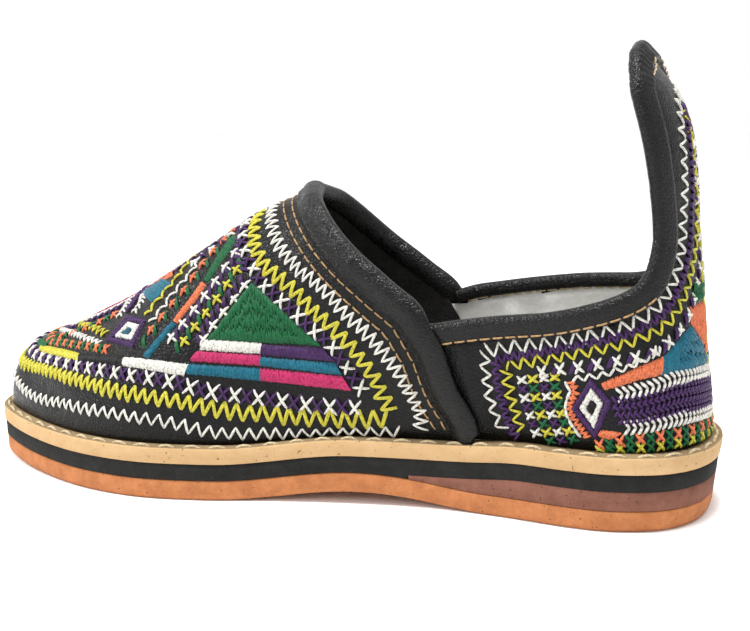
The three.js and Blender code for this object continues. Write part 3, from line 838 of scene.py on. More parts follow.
def evenly(points, steps):
    """The same path with its points evenly spaced."""
    points = [Vector(p) for p in points]
    marks = [0.0]
    for a, b in zip(points, points[1:]):
        marks.append(marks[-1] + (b - a).length)
    result = []
    k = 0
    for step in range(steps + 1):
        mark = marks[-1] * step / steps
        while k < len(marks) - 2 and marks[k + 1] < mark:
            k += 1
        share = clamp01((mark - marks[k]) / max(1e-9, marks[k + 1] - marks[k]))
        result.append(points[k].lerp(points[k + 1], share))
    return result


def averaged(vectors, reach):
    """Each vector as the mean of those within reach of it in the list."""
    result = []
    for k in range(len(vectors)):
        near = vectors[max(0, k - reach):k + reach + 1]
        result.append(sum(near, Vector()) / len(near))
    return result


def back_spot(z):
    """Place on the middle of the heel's back at a height."""
    return wall(0.5, last_below(lambda climb: wall(0.5, climb).z < z, 1.0))


EDGE_STEPS = 420
TAB_BAND = 1.12
OUTER_FOLD = 5.7
COLLAR_SAG = {-1: -3.4, 1: 1.6}
leather_at = {}


def on_leather(point, part):
    """Nearest place on the outer face of a part's leather, and the way out of it there."""
    return leather_at[part].find_nearest(point)[:2]


def sag_share(along):
    """Share of the collar's sag, which runs from behind the mouth's corner to the foot of the tab."""
    return smooth((along - 0.63) / 0.03) * (1 - smooth((along - 0.8) / 0.12))


def binding_rail():
    """The bound edge in space: place, way into the leather, way out of it, and the strip's width."""
    halves = []
    for side in (-1, 1):
        half = []
        for x, z in EDGE_LINE:
            if x > back_spot(z).x - 1.2:
                break
            sagged = z + COLLAR_SAG[side] * sag_share(x_to_along(x))
            half.append(wall(*wall_spot(x, sagged, side)))
        halves.append(half)
    apex = back_spot((halves[0][-1].z + halves[1][-1].z) / 2 + 1.6)
    line = open_curve([tuple(p) for p in [*halves[0], apex, *reversed(halves[1])]], 1600)
    path = averaged(evenly(line, EDGE_STEPS), 2)
    rail = []
    for k, point in enumerate(path):
        tangent = (path[min(EDGE_STEPS, k + 1)] - path[max(0, k - 1)]).normalized()
        place, normal = on_leather(point, "whole")
        inward = tangent.cross(normal).normalized()
        width = OUTER_FOLD * (1 + (TAB_BAND - 1) * smooth((point.z - QUARTER - FOREFOOT_DECK) / 20))
        rail.append((place, inward, normal, width))
    return rail


vamp_shape = mapped_grid(FORM_COLUMNS, FORM_ROWS, form_place, welded=True)
quarter_shape = vamp_shape.copy()
leather_at["whole"] = BVHTree.FromBMesh(vamp_shape)
sunk(vamp_shape, lambda point: crease_depth("vamp", point))
sunk(quarter_shape, lambda point: VAMP_STEP + crease_depth("quarter", point))
leather_at["vamp"] = BVHTree.FromBMesh(vamp_shape)
leather_at["quarter"] = BVHTree.FromBMesh(quarter_shape)
BINDING_RAIL = binding_rail()
RAIL_COUNT = len(BINDING_RAIL)
rail_tree = KDTree(RAIL_COUNT)
for k, (edge, _, _, _) in enumerate(BINDING_RAIL):
    rail_tree.insert(edge, k)
rail_tree.balance()


def below_edge(point):
    """How far a point of the wall lies below the bound edge, as a share of the binding's width."""
    edge, inward, _, width = BINDING_RAIL[rail_tree.find(point)[1]]
    return (point - edge).dot(inward) / width


TRIM_REACH = 6


def trim_edge(shape, part, offset):
    """Draws the cut edge beside the roll's flat foot onto a clean line; higher up the roll covers it."""
    loose = {vert for edge in shape.edges if edge.is_boundary for vert in edge.verts}
    for vert in loose:
        if vert.co.z > CORNER_HEIGHT + ROLL_WIDTH:
            continue
        for _ in range(3):
            miss = behind_mouth(vert.co) - offset
            if abs(miss) < TRIM_REACH:
                vert.co = on_leather(vert.co - Vector((miss, 0, 0)), part)[0]


UNDERLAP = 3
UNDER_BINDING = 0.5
LINING_LAP = 0.2
cut_away(vamp_shape, lambda point: behind_mouth(point) > 0)
trim_edge(vamp_shape, "vamp", -1)
cut_away(quarter_shape, lambda point: behind_mouth(point) < -UNDERLAP or below_edge(point) < UNDER_BINDING)
trim_edge(quarter_shape, "quarter", -UNDERLAP)
vamp = piece_from("vamp_leather", vamp_shape, [black_goatskin, dark_lining_and_shade])
thicken(vamp, VAMP_STEP + QUARTER_WALL + LINING_LAP)
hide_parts("upper")
quarter = piece_from("quarter_leather", quarter_shape, [black_goatskin, pale_split])
thicken(quarter, QUARTER_WALL)


# Padded roll round the mouth and down the rear edge of the vamp
def roll_line():
    """Middle line of the roll on the wall, from the sole up the outer side, over the ridge and down."""
    crossing = next(k for k, (x, z) in enumerate(MOUTH_LINE) if z < crown_height(x))
    ahead, behind = MOUTH_LINE[crossing - 1], MOUTH_LINE[crossing]
    over = ahead[1] - crown_height(ahead[0])
    share = over / (over + crown_height(behind[0]) - behind[1])
    top_x = ahead[0] + (behind[0] - ahead[0]) * share
    halves = []
    for side in (-1, 1):
        half = []
        for x, z in MOUTH_LINE[crossing:]:
            turn, climb = wall_spot(x, z, side)
            turn, climb = wall_spot(x - MOUTH_SKEW * wall(turn, climb).y, z, side)
            half.append(wall(turn, climb))
        halves.append(half)
    top = Vector((top_x, axis_y(top_x), crown_height(top_x)))
    return open_curve([tuple(p) for p in [*reversed(halves[0]), top, *halves[1]]], 900)


ROLL_STEPS = 220
roll_path = evenly(roll_line(), ROLL_STEPS)
roll_out = averaged([on_leather(point, "vamp")[1] for point in roll_path], 5)


# Section of the roll: a share of the half width sideways (below zero towards the vamp), a share of the
# height above its middle; its outer side runs out softly on the vamp
ROLL_SECTION = [
    (-1.38, -0.05), (-1.15, 0.2), (-0.8, 0.6), (-0.25, 0.95), (0.38, 0.9), (0.85, 0.5),
    (1, 0), (0.85, -0.5), (0.38, -0.9), (-0.4, -0.95), (-0.9, -0.35), (-1.25, -0.3),
]
ROLL_SIDES = 30


def roll_place(u, v):
    """Round section at the mouth that flattens towards the sole, drawn up in small puckers."""
    k = round(u * ROLL_STEPS)
    point = roll_path[k]
    tangent = (roll_path[min(ROLL_STEPS, k + 1)] - roll_path[max(0, k - 1)]).normalized()
    outward = (roll_out[k] - tangent * roll_out[k].dot(tangent)).normalized()
    sideways = tangent.cross(outward)
    flat = smooth((CORNER_HEIGHT + ROLL_WIDTH / 2 - point.z) / (1.5 * ROLL_WIDTH))
    thickness = ROLL_THICKNESS + (ROLL_EDGE - ROLL_THICKNESS) * flat
    depth = ROLL_DEPTH + (VAMP_STEP - GAP - ROLL_EDGE / 2 - ROLL_DEPTH) * flat
    share = round(v * ROLL_SIDES) % ROLL_SIDES / ROLL_SIDES
    along, height = ring_curve(ROLL_SECTION, share * len(ROLL_SECTION))
    pucker = 1 + 0.03 * math.sin(u * 310) * math.sin(u * 97 + 3 * v) + 0.03 * math.sin(u * 61 + 2)
    if height < 0 and along < -1:
        rise = height * thickness / 2 - 0.1
    elif along < -1:
        rise = height * (thickness / 2 - depth) - 0.1
    else:
        rise = height * thickness / 2 * pucker - depth * min(1, (along + 1) / 0.3)
    return point + sideways * along * ROLL_WIDTH / 2 + outward * rise


roll_shape = mapped_grid(ROLL_STEPS, ROLL_SIDES, roll_place, welded=True)
closed(roll_shape)
floor_of_roll = Vector((mouth_x(0), 0, feather_height(mouth_x(0)) - 0.2))
bmesh.ops.bisect_plane(
    roll_shape, geom=roll_shape.verts[:] + roll_shape.edges[:] + roll_shape.faces[:], dist=0.0001,
    plane_co=floor_of_roll, plane_no=(0, 0, -1), clear_outer=True,
)
roll = piece_from("mouth_roll", roll_shape, [roll_goatskin])
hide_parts("vamp_collar")


# Folded binding along the quarter's top line and round the tab
INNER_LEG = 0.5
PUCKER_DEPTH = 0.22
BAND_SHARES = [1.0, 0.8, 0.55, 0.3, 0.12]
FOLD_RADIUS = BINDING_THICKNESS / 2


def binding_section(k):
    """Outline of the folded strip at one place: up the outside, over the edge and down the inside."""
    edge, inward, normal, width = BINDING_RAIL[k]
    gather = smooth((edge.z - TAB) / 12)
    puff = PUCKER_DEPTH * math.sin(k * 1.9) * gather
    outer = [on_leather(edge + inward * width * share, "whole") for share in BAND_SHARES]
    loop = [outer[0][0] - outer[0][1] * (VAMP_STEP + 0.3)]
    loop.append(outer[0][0].lerp(outer[1][0], 0.05) - outer[0][1] * 0.6)
    loop.append(outer[0][0].lerp(outer[1][0], 0.3) - outer[0][1] * 0.1)
    loop += [point + out * (0.12 + puff) for point, out in outer[1:]]
    top, out = outer[-1]
    centre = top - out * FOLD_RADIUS
    for step in range(1, 6):
        angle = step * math.pi / 6
        rise = out * (FOLD_RADIUS + puff) * math.cos(angle)
        loop.append(centre + rise - inward * FOLD_RADIUS * math.sin(angle))
    for share in (0.12, 0.3, INNER_LEG):
        point, out = on_leather(edge + inward * width * share, "whole")
        loop.append(point - out * BINDING_THICKNESS)
    point, out = on_leather(edge + inward * width * (INNER_LEG + 0.06), "whole")
    loop.append(point - out * (BINDING_THICKNESS - 0.5))
    loop.append(point - out * (VAMP_STEP + 0.8))
    return loop


BINDING_SECTIONS = [binding_section(k) for k in range(RAIL_COUNT)]
SECTION_POINTS = len(BINDING_SECTIONS[0])


def binding_place(u, v):
    section = BINDING_SECTIONS[round(u * (RAIL_COUNT - 1))]
    return section[round(v * SECTION_POINTS) % SECTION_POINTS]


binding_shape = mapped_grid(RAIL_COUNT - 1, SECTION_POINTS, binding_place, welded=True)
cut_away(binding_shape, lambda point: behind_mouth(point) < 0)
closed(binding_shape)
binding = piece_from("folded_binding", binding_shape, [roll_goatskin])
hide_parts("topline_binding")

# Camera at the photograph's angle
CAMERA_PLACE = Vector((153.97, -358.15, 115.53))
CAMERA_YAW, CAMERA_PITCH, CAMERA_ROLL = (math.radians(angle) for angle in (20.933, 9.115, -0.697))
FOCAL_PX = 1200
FRAME_WIDTH, FRAME_HEIGHT = 750, 631
SENSOR = 36
ahead = Vector((
    -math.sin(CAMERA_YAW) * math.cos(CAMERA_PITCH),
    math.cos(CAMERA_YAW) * math.cos(CAMERA_PITCH),
    -math.sin(CAMERA_PITCH),
))
level_right = Vector((math.cos(CAMERA_YAW), math.sin(CAMERA_YAW), 0))
level_up = level_right.cross(ahead)
right = level_right * math.cos(CAMERA_ROLL) + level_up * math.sin(CAMERA_ROLL)
up = level_up * math.cos(CAMERA_ROLL) - level_right * math.sin(CAMERA_ROLL)
lens = bpy.data.cameras.new("photo_camera")
lens.sensor_width = SENSOR
lens.lens = FOCAL_PX * SENSOR / FRAME_WIDTH
camera = bpy.data.objects.new("photo_camera", lens)
bpy.context.scene.collection.objects.link(camera)
facing = Matrix((right, up, -ahead)).transposed().to_4x4()
camera.matrix_world = Matrix.Translation(CAMERA_PLACE * MM) @ facing
bpy.context.scene.camera = camera

# Threads: each stitch is a strand that dips into the leather at both ends
strands = {name: [] for name in THREADS}
THREAD_RADIUS = 0.4
MIDDLE_PX = (380, 400)


def seen(px, part):
    """Place on the leather that a pixel of the photograph shows, moved inwards where it just misses."""
    for step in range(40):
        share = step * 0.004
        x = px[0] + (MIDDLE_PX[0] - px[0]) * share
        y = px[1] + (MIDDLE_PX[1] - px[1]) * share
        ray = ahead + right * ((x - FRAME_WIDTH / 2) / FOCAL_PX) - up * ((y - FRAME_HEIGHT / 2) / FOCAL_PX)
        place, normal, _, _ = leather_at[part].ray_cast(CAMERA_PLACE, ray.normalized())
        if place is not None and normal.dot(ray) < -0.02:
            return place
    raise ValueError(f"no leather at {px}")


def far_side(point, part):
    """The same place on the other side of the shoe."""
    mirrored = Vector((point.x, 2 * axis_y(point.x) - point.y, point.z))
    return on_leather(mirrored, part)[0]


chance = random.Random(11)
LONG_STITCH = 5
STITCH_PIECE = 1.6
SUNK_END = 0.25


def stitch(colour, start, end, part, radius=THREAD_RADIUS, lift=0.35):
    """One straight stitch; a long one follows the leather under it."""
    a, normal_a = on_leather(start, part)
    b, normal_b = on_leather(end, part)
    length = (b - a).length
    steps = 4 if length < LONG_STITCH else max(4, round(length / STITCH_PIECE))
    points = []
    for k in range(steps + 1):
        share = k / steps
        place, normal = a.lerp(b, share), normal_a.lerp(normal_b, share)
        if length >= LONG_STITCH:
            place, normal = on_leather(place, part)
        arch = (4 * share * (1 - share)) ** 0.4
        points.append(place + normal * ((lift + SUNK_END) * arch - SUNK_END))
    strands[colour].append((points, radius))


def frame_at(path, k, part):
    """Place on the leather, way across the row and way along it."""
    tangent = (path[min(len(path) - 1, k + 1)] - path[max(0, k - 1)]).normalized()
    place, normal = on_leather(path[k], part)
    return place, normal.cross(tangent).normalized(), tangent


def path_length(path):
    return sum((b - a).length for a, b in zip(path, path[1:]))


def both_ends(value):
    return value if isinstance(value, tuple) else (value, value)


def size_at(value, share, meets):
    """A size that may grow along a row; a row that meets its mirror image starts in the middle."""
    first, last = both_ends(value)
    grown = abs(2 * share - 1) if meets else share
    return first + (last - first) * grown


FINE_STEP = 0.15


def spaced(path, pitch, meets):
    """Points along a row at its pitch, and the share of the row at each."""
    fine = open_curve([tuple(p) for p in path], 12 * len(path)) if len(path) > 2 else path
    length = path_length([Vector(p) for p in fine])
    count = max(40, round(length / FINE_STEP))
    fine = evenly(fine, count)
    step = length / count
    points = [fine[0]]
    shares = [0.0]
    covered = 0.0
    for k in range(1, count + 1):
        covered += step
        if covered >= size_at(pitch, k / count, meets) - step / 2:
            points.append(fine[k])
            shares.append(k / count)
            covered = 0.0
    return points, shares


def shaken(amount):
    """A factor near one, as uneven as hand work."""
    return 1 + amount * (2 * chance.random() - 1)


def zigzag(path, part, row):
    meets = row.get("meets")
    half = tuple(value / 2 for value in both_ends(row["pitch"]))
    points, shares = spaced(path, half, meets)
    ends = []
    for k, share in enumerate(shares):
        place, across, tangent = frame_at(points, k, part)
        reach = size_at(row["width"], share, meets) / 2 * shaken(0.12)
        sway = tangent * (chance.random() - 0.5) * 0.5
        ends.append(place + across * (reach if k % 2 else -reach) + sway)
    radius = row.get("radius", THREAD_RADIUS)
    for k, (a, b) in enumerate(zip(ends, ends[1:])):
        stitch(row["thread"], a, b, part, radius * shaken(0.12))
        if row.get("twice"):
            shift = (points[k + 1] - points[k]) * 0.22
            stitch(row["thread"], a + shift, b + shift * 0.6, part, radius * shaken(0.12), lift=0.45)


CROSS_RADIUS = 0.48


def crosses(path, part, row):
    meets = row.get("meets")
    points, shares = spaced(path, row["pitch"], meets)
    for k, share in enumerate(shares):
        place, across, tangent = frame_at(points, k, part)
        colour = row["second"] if row.get("second") and k % 2 else row["thread"]
        size = size_at(row["width"], share, meets) * shaken(0.1)
        arms = [across * 0.5 + tangent * 0.38, across * 0.5 - tangent * 0.38]
        if row.get("upright"):
            arms = [across * 0.5, tangent * 0.5]
        for lift, arm in zip((0.3, 0.6), arms):
            reach = arm * size * shaken(0.08)
            stitch(colour, place - reach, place + reach, part, row.get("radius", CROSS_RADIUS), lift)


def dashes(path, part, row):
    points = spaced(path, row["pitch"], row.get("meets"))[0]
    for k in range(len(points)):
        place, across, tangent = frame_at(points, k, part)
        reach = (across * 0.5 + tangent * 0.35) * row["width"] * shaken(0.12)
        for shift in (-0.3, 0.3):
            side = tangent * shift
            stitch(row["thread"], place - reach + side, place + reach + side, part, row.get("radius", 0.42))


def chain(path, part, row):
    points = spaced(path, row["pitch"], row.get("meets"))[0]
    for k in range(len(points)):
        place, across, tangent = frame_at(points, k, part)
        for sign in (-1, 1):
            foot = place + across * (sign * row["width"] / 2 * shaken(0.1))
            tip = place + tangent * row["pitch"] * 0.85
            stitch(row["thread"], foot, tip, part, row.get("radius", THREAD_RADIUS))


def running(path, part, row):
    points = spaced(path, row["pitch"], row.get("meets"))[0]
    for a, b in zip(points, points[1:]):
        stitch(row["thread"], a.lerp(b, 0.1), a.lerp(b, 0.9), part, row.get("radius", 0.3), lift=0.22)


def cord(path, part, row):
    points = spaced(path, row["pitch"], row.get("meets"))[0]
    for a, b in zip(points, points[1:]):
        stitch(row["thread"], a, b, part, row.get("radius", THREAD_RADIUS), lift=0.3)


SATIN_SPACING = 0.46
SATIN_RADIUS = 0.31


def satin(first_rail, second_rail, part, thread, split=1):
    """Threads laid side by side from one rail to the other, each broken into staggered stitches."""
    count = max(2, round(max(path_length(first_rail), path_length(second_rail)) / SATIN_SPACING))
    first = evenly(first_rail, count)
    second = evenly(second_rail, count)
    middle_length = path_length([first[count // 2], second[count // 2]])
    for a, b in zip(first, second):
        if (b - a).length < 0.7:
            continue
        pieces = max(1, round(split * (b - a).length / middle_length))
        inner = [(n + 0.6 * (chance.random() - 0.5)) / pieces for n in range(1, pieces)]
        cuts = [0.0, *inner, 1.0]
        ragged = 0.3 / (b - a).length
        for low, high in zip(cuts, cuts[1:]):
            low_share = low + ragged * (chance.random() - 0.5)
            high_share = high + ragged * (chance.random() - 0.5)
            start, end = a.lerp(b, low_share), a.lerp(b, high_share)
            stitch(thread, start, end, part, SATIN_RADIUS * shaken(0.15), lift=0.3 + 0.25 * chance.random())


def from_above(place, part):
    """Place on the leather under a point given by its length from the middle and its way off the ridge."""
    x, off_ridge = place
    start = Vector((x, axis_y(x) + off_ridge, FOREFOOT_DECK + 2 * TAB))
    return leather_at[part].ray_cast(start, Vector((0, 0, -1)))[0]


def embroider(rows, part, find):
    """Rows on the near side and, in mirror image, on the far side; one that meets it runs on across."""
    for row in rows:
        near = [find(place, part) for place in row["line"]]
        far = [far_side(point, part) for point in near]
        for path in ([near[::-1] + far] if row.get("meets") else [near, far]):
            row["stitch"](path, part, row)


def fill_patches(patches, part, find):
    """Satin patches on both sides, each between two rails, with the number of stitches across it."""
    for thread, first, second, *split in patches:
        near = [[find(place, part) for place in rail] for rail in (first, second)]
        far = [[far_side(point, part) for point in rail] for rail in near]
        for rails in (near, far):
            satin(*rails, part, thread, *split)


def row_of(stitch_kind, thread, pitch, width, line, **more):
    """A row of one kind of stitch. Pitch and width are in mm, a pair where they grow along the row."""
    return {"stitch": stitch_kind, "thread": thread, "pitch": pitch, "width": width, "line": line, **more}


# Rows of the vamp, by the pixels of the photograph that they pass, from the ridge or toe outwards
VAMP_ROWS = [
    row_of(zigzag, "white", 3, 4.6, [
        (274, 205), (271, 220), (276, 240), (295, 266), (324, 290), (346, 314), (374, 342), (393, 366),
        (409, 392), (420, 414), (421, 430),
    ], meets=True),
    row_of(zigzag, "yellow", 3.9, 5.2, [
        (258, 212), (254, 231), (254, 248), (267, 268), (291, 288), (309, 307), (333, 329), (354, 351),
        (372, 375), (383, 398), (391, 412),
    ], meets=True, twice=True),
    row_of(crosses, "white", 3.8, 4.4, [
        (243, 233), (253, 268), (263, 284), (278, 298), (295, 313), (312, 329), (332, 346), (345, 365),
        (361, 388),
    ], second="purple", meets=True),
    row_of(zigzag, "white", (3.9, 4.4), (3.4, 4.4), [
        (24, 389), (73, 406), (121, 415), (170, 423), (218, 433), (267, 434), (320, 435), (364, 434),
        (400, 433),
    ], meets=True),
    row_of(zigzag, "yellow", (2.7, 4.6), (4, 6.2), [
        (19, 359), (50, 371), (83, 382), (116, 391), (149, 397), (182, 402), (216, 409), (260, 414),
        (346, 419), (389, 419),
    ], meets=True, twice=True),
    row_of(crosses, "white", (3, 3.9), (3.6, 5.2), [
        (33, 346), (43, 357), (70, 364), (99, 369), (136, 376), (174, 382), (194, 388), (218, 393),
        (242, 396), (266, 399), (291, 402), (316, 406), (342, 407), (355, 408),
    ], second="purple", meets=True),
    row_of(crosses, "coral", 2.7, 3, [
        (50, 338), (68, 343), (86, 346), (106, 349),
    ], second="green", meets=True),
    row_of(zigzag, "white", 3.1, 2.6, [(58, 328), (78, 335), (100, 344)], meets=True),
    row_of(zigzag, "yellow", 4, 3.2, [(77, 321), (92, 327), (106, 334)], meets=True),
    row_of(chain, "white", 2, 3, [(119, 317), (126, 307), (134, 297), (139, 290)]),
    row_of(chain, "white", 2, 3, [(134, 313), (141, 303), (144, 294)]),
    row_of(cord, "purple", 3, 0, [(127, 312), (134, 303), (141, 291), (152, 282)], radius=1),
    row_of(zigzag, "white", 5, 2.2, [
        (204, 253), (193, 270), (183, 282), (175, 291), (164, 306), (147, 327),
    ], radius=0.45),
    row_of(zigzag, "yellow", 5, 2.2, [
        (198, 254), (188, 263), (180, 274), (170, 286), (159, 299), (144, 318),
    ], radius=0.45),
    row_of(crosses, "coral", 5.4, 4, [
        (234, 231), (219, 246), (202, 265), (188, 286), (172, 305), (156, 325), (141, 342),
    ], upright=True),
    row_of(dashes, "green", 5.4, 3.6, [
        (229, 239), (212, 257), (197, 277), (182, 296), (166, 315), (150, 335), (134, 354),
    ]),
    row_of(crosses, "white", 5.6, 4.6, [
        (235, 253), (222, 273), (209, 291), (194, 311), (178, 330), (164, 348),
    ], upright=True),
    row_of(dashes, "purple", 2.8, 3.2, [(232, 262), (217, 282), (203, 300), (188, 320), (172, 339)]),
    row_of(crosses, "yellow", 5.6, 4.2, [
        (237, 270), (224, 290), (210, 308), (196, 326), (181, 346),
    ], upright=True),
    row_of(dashes, "green", 5.6, 3.4, [
        (240, 262), (228, 281), (214, 299), (200, 318), (187, 335), (172, 353),
    ]),
    row_of(dashes, "purple", 2.8, 3.2, [(241, 280), (226, 300), (210, 320), (196, 344)]),
    row_of(crosses, "white", 5.2, 4.4, [(245, 286), (229, 306), (212, 328), (198, 349)], upright=True),
    row_of(dashes, "purple", 2.6, 3, [(238, 240), (236, 252), (240, 262), (246, 274)]),
    row_of(cord, "magenta", 3, 0, [(96, 298), (118, 285), (142, 272)]),
]
VAMP_PATCHES = [
    ("green", [(209, 338), (252, 282), (320, 344)], [(208, 340), (252, 342), (321, 346)], 4),
    ("white", [(125, 357), (188, 364)], [(123, 366), (183, 376)]),
    ("teal", [(189, 364), (260, 368)], [(187, 374), (260, 381)]),
    ("pink", [(198, 351), (260, 355)], [(190, 361), (260, 366)]),
    ("white", [(207, 339), (261, 343)], [(200, 350), (260, 354)]),
    ("purple", [(262, 344), (322, 348)], [(261, 355), (335, 362)]),
    ("teal", [(261, 357), (335, 363)], [(261, 366), (341, 375)]),
    ("pink", [(261, 368), (341, 376)], [(261, 381), (351, 391)]),
    ("green", [(232, 236), (204, 279)], [(238, 240), (209, 282)]),
    ("coral", [(201, 282), (173, 320)], [(206, 286), (178, 323)]),
    ("teal", [(171, 322), (143, 355)], [(176, 325), (149, 358)]),
    ("yellow", [(42, 345), (79, 353)], [(40, 352), (78, 362)]),
    ("black", [(80, 353), (124, 358)], [(79, 362), (122, 367)]),
    ("green", [(40, 338), (49, 342)], [(38, 345), (45, 350)]),
    ("purple", [(127, 316), (146, 320), (133, 348)], [(130, 321), (141, 324), (131, 341)]),
    ("purple", [(133, 348), (107, 341), (127, 316)], [(131, 341), (113, 338), (130, 321)]),
    ("white", [(129, 322), (140, 325), (132, 340)], [(128, 328), (133, 330), (129, 335)]),
    ("white", [(132, 340), (115, 337), (129, 322)], [(129, 335), (121, 333), (128, 328)]),
    ("deep_teal", [(128, 328), (121, 333)], [(132, 330), (128, 335)]),
    ("teal", [(143, 292), (160, 280)], [(152, 302), (172, 285)]),
    ("coral", [(150, 279), (170, 268)], [(154, 286), (172, 276)]),
    ("magenta", [(113, 296), (140, 279)], [(118, 302), (143, 286)]),
]
# Band along the ridge of the vamp, in mm from the sole's middle and off the ridge
RIDGE_ROWS = [
    row_of(zigzag, "white", 3.2, 2.8, [
        (-101, -0.1), (-97, -6), (-88, -10), (-75, -11.5), (-60, -11.5), (-45, -10), (-32, -6),
        (-26, -0.5),
    ], meets=True),
    row_of(dashes, "purple", 3, 2.6, [
        (-104, -0.1), (-100, -8), (-90, -13), (-76, -15), (-60, -15), (-44, -13), (-29, -8),
        (-21, -0.5),
    ], meets=True),
    row_of(crosses, "coral", 3.4, 3, [
        (-101, -14), (-92, -17.5), (-80, -19.5), (-68, -20),
    ], second="green"),
    row_of(crosses, "white", 3.8, 3.4, [(-40, -17), (-31, -13), (-24, -8), (-17, -3)], second="purple"),
]
RIDGE_PATCHES = [
    ("magenta", [(-97, 0), (-85, 0), (-72, 0)], [(-97, -1), (-85, -7.5), (-72, -7.5)]),
    ("coral", [(-71, 0), (-58, 0), (-46, 0)], [(-71, -7.5), (-58, -7.5), (-46, -3)]),
    ("green", [(-45, 0), (-38, 0), (-30, 0)], [(-45, -3), (-38, -5), (-30, -0.6)]),
]
embroider(VAMP_ROWS, "vamp", seen)
embroider(RIDGE_ROWS, "vamp", from_above)
fill_patches(VAMP_PATCHES, "vamp", seen)
fill_patches(RIDGE_PATCHES, "vamp", from_above)

# Rows of the quarter and the heel tab, from the back forwards where they meet at the back seam
QUARTER_ROWS = [
    row_of(zigzag, "purple", 2.4, 3, [
        (685, 102), (688, 130), (691, 160), (692, 195), (691, 232), (686, 265), (678, 290), (661, 316),
        (630, 333), (590, 343), (540, 352), (494, 360),
    ], twice=True),
    row_of(zigzag, "white", 4.6, 4.4, [
        (676, 86), (678, 104), (681, 125), (684, 155), (685, 190), (683, 230), (679, 262), (670, 289),
        (653, 311), (628, 326), (590, 336), (540, 344), (486, 351),
    ]),
    row_of(zigzag, "yellow", 4.2, 3.4, [
        (686, 104), (692, 130), (695, 160), (697, 195), (696, 238), (691, 272), (683, 300), (664, 326),
        (632, 341), (590, 351), (540, 360), (503, 366),
    ]),
    row_of(crosses, "white", 5.4, 3.3, [
        (697, 140), (700, 180), (701, 215), (700, 248), (697, 280), (691, 308), (677, 333), (662, 348),
        (646, 355), (629, 359), (606, 363), (580, 367), (554, 370), (527, 374),
    ]),
    row_of(dashes, "purple", 5.4, 3.2, [
        (699, 160), (701, 198), (701, 232), (699, 264), (694, 294), (684, 322), (669, 342), (654, 352),
        (637, 357), (617, 361), (593, 365), (567, 369), (540, 373),
    ]),
    row_of(zigzag, "white", 4.6, 3.8, [
        (485, 352), (485, 368), (487, 384), (491, 402), (497, 420), (508, 436),
    ]),
    row_of(zigzag, "purple", 2.6, 3, [
        (495, 362), (497, 377), (500, 394), (505, 411), (511, 427), (518, 440),
    ], twice=True),
    row_of(zigzag, "yellow", 4, 3.6, [(506, 369), (508, 384), (512, 401), (517, 418), (524, 438)]),
    row_of(crosses, "white", 2.7, 2.8, [
        (522, 380), (524, 393), (528, 408), (533, 424), (539, 440),
    ], second="purple"),
    row_of(crosses, "yellow", 2.7, 2.8, [
        (533, 379), (535, 393), (539, 409), (545, 426), (551, 441),
    ], second="green"),
    row_of(crosses, "white", 2.7, 2.6, [
        (544, 378), (546, 392), (550, 409), (556, 426), (562, 441),
    ], second="purple"),
    row_of(crosses, "yellow", 2.7, 2.8, [
        (555, 377), (556, 391), (560, 409), (567, 427), (574, 441),
    ], second="green"),
    row_of(zigzag, "coral", 1.5, 2.2, [(570, 381), (576, 392), (570, 404), (575, 420), (588, 438)]),
    row_of(cord, "white", 3, 0, [
        (565, 382), (571, 393), (565, 404), (569, 420), (582, 439),
    ], radius=0.5),
    row_of(zigzag, "white", 3.6, 1.8, [(572, 379), (590, 377), (612, 372), (640, 362), (662, 348)]),
    row_of(chain, "white", 1.8, 4.2, [
        (710, 369), (680, 377), (660, 384), (640, 390), (617, 395),
    ], radius=0.46, meets=True),
    row_of(chain, "white", 1.8, 4.2, [
        (712, 409), (685, 417), (660, 423), (640, 427), (624, 428),
    ], radius=0.46, meets=True),
    row_of(chain, "purple", 1.7, 3.4, [
        (710, 379), (680, 388), (655, 396), (630, 402), (612, 403),
    ], radius=0.5, meets=True),
    row_of(chain, "purple", 1.7, 3.4, [
        (711, 389), (680, 397), (655, 404), (632, 410), (614, 411),
    ], radius=0.5, meets=True),
    row_of(chain, "purple", 1.7, 3.4, [
        (711, 399), (685, 407), (660, 413), (640, 418), (618, 419),
    ], radius=0.5, meets=True),
    row_of(crosses, "coral", 2.9, 3.4, [
        (711, 421), (700, 427), (680, 433), (655, 437), (625, 441), (600, 445),
    ], second="green", meets=True),
    row_of(crosses, "yellow", 2.9, 3, [
        (711, 430), (698, 437), (676, 443), (650, 447), (622, 449), (600, 451),
    ], second="green", meets=True),
]
QUARTER_PATCHES = [
    ("purple", [(591, 378), (612, 402), (596, 440)], [(591, 387), (604, 403), (594, 430)]),
    ("purple", [(596, 440), (571, 409), (591, 378)], [(594, 430), (578, 408), (591, 387)]),
    ("white", [(591, 388), (603, 403), (594, 428)], [(591, 399), (597, 404), (593, 416)]),
    ("white", [(594, 428), (579, 408), (591, 388)], [(593, 416), (586, 408), (591, 399)]),
    ("black", [(591, 400), (587, 408)], [(597, 405), (593, 415)]),
    ("coral", [(602, 383), (640, 366), (664, 356)], [(606, 390), (640, 380), (662, 375)]),
    ("teal", [(664, 356), (690, 326)], [(662, 376), (708, 362)], 2),
    ("coral", [(690, 306), (706, 300)], [(691, 324), (709, 354)], 2),
    ("green", [(694, 282), (706, 280)], [(692, 304), (707, 298)], 2),
    ("coral", [(602, 430), (622, 433)], [(598, 436), (606, 440)]),
]
TAB_STITCHES = [
    row_of(running, "cream", 2.8, 0, [(654, 56), (656, 66), (653, 76)]),
]
embroider(QUARTER_ROWS, "quarter", seen)
embroider(TAB_STITCHES, "whole", seen)
fill_patches(QUARTER_PATCHES, "quarter", seen)

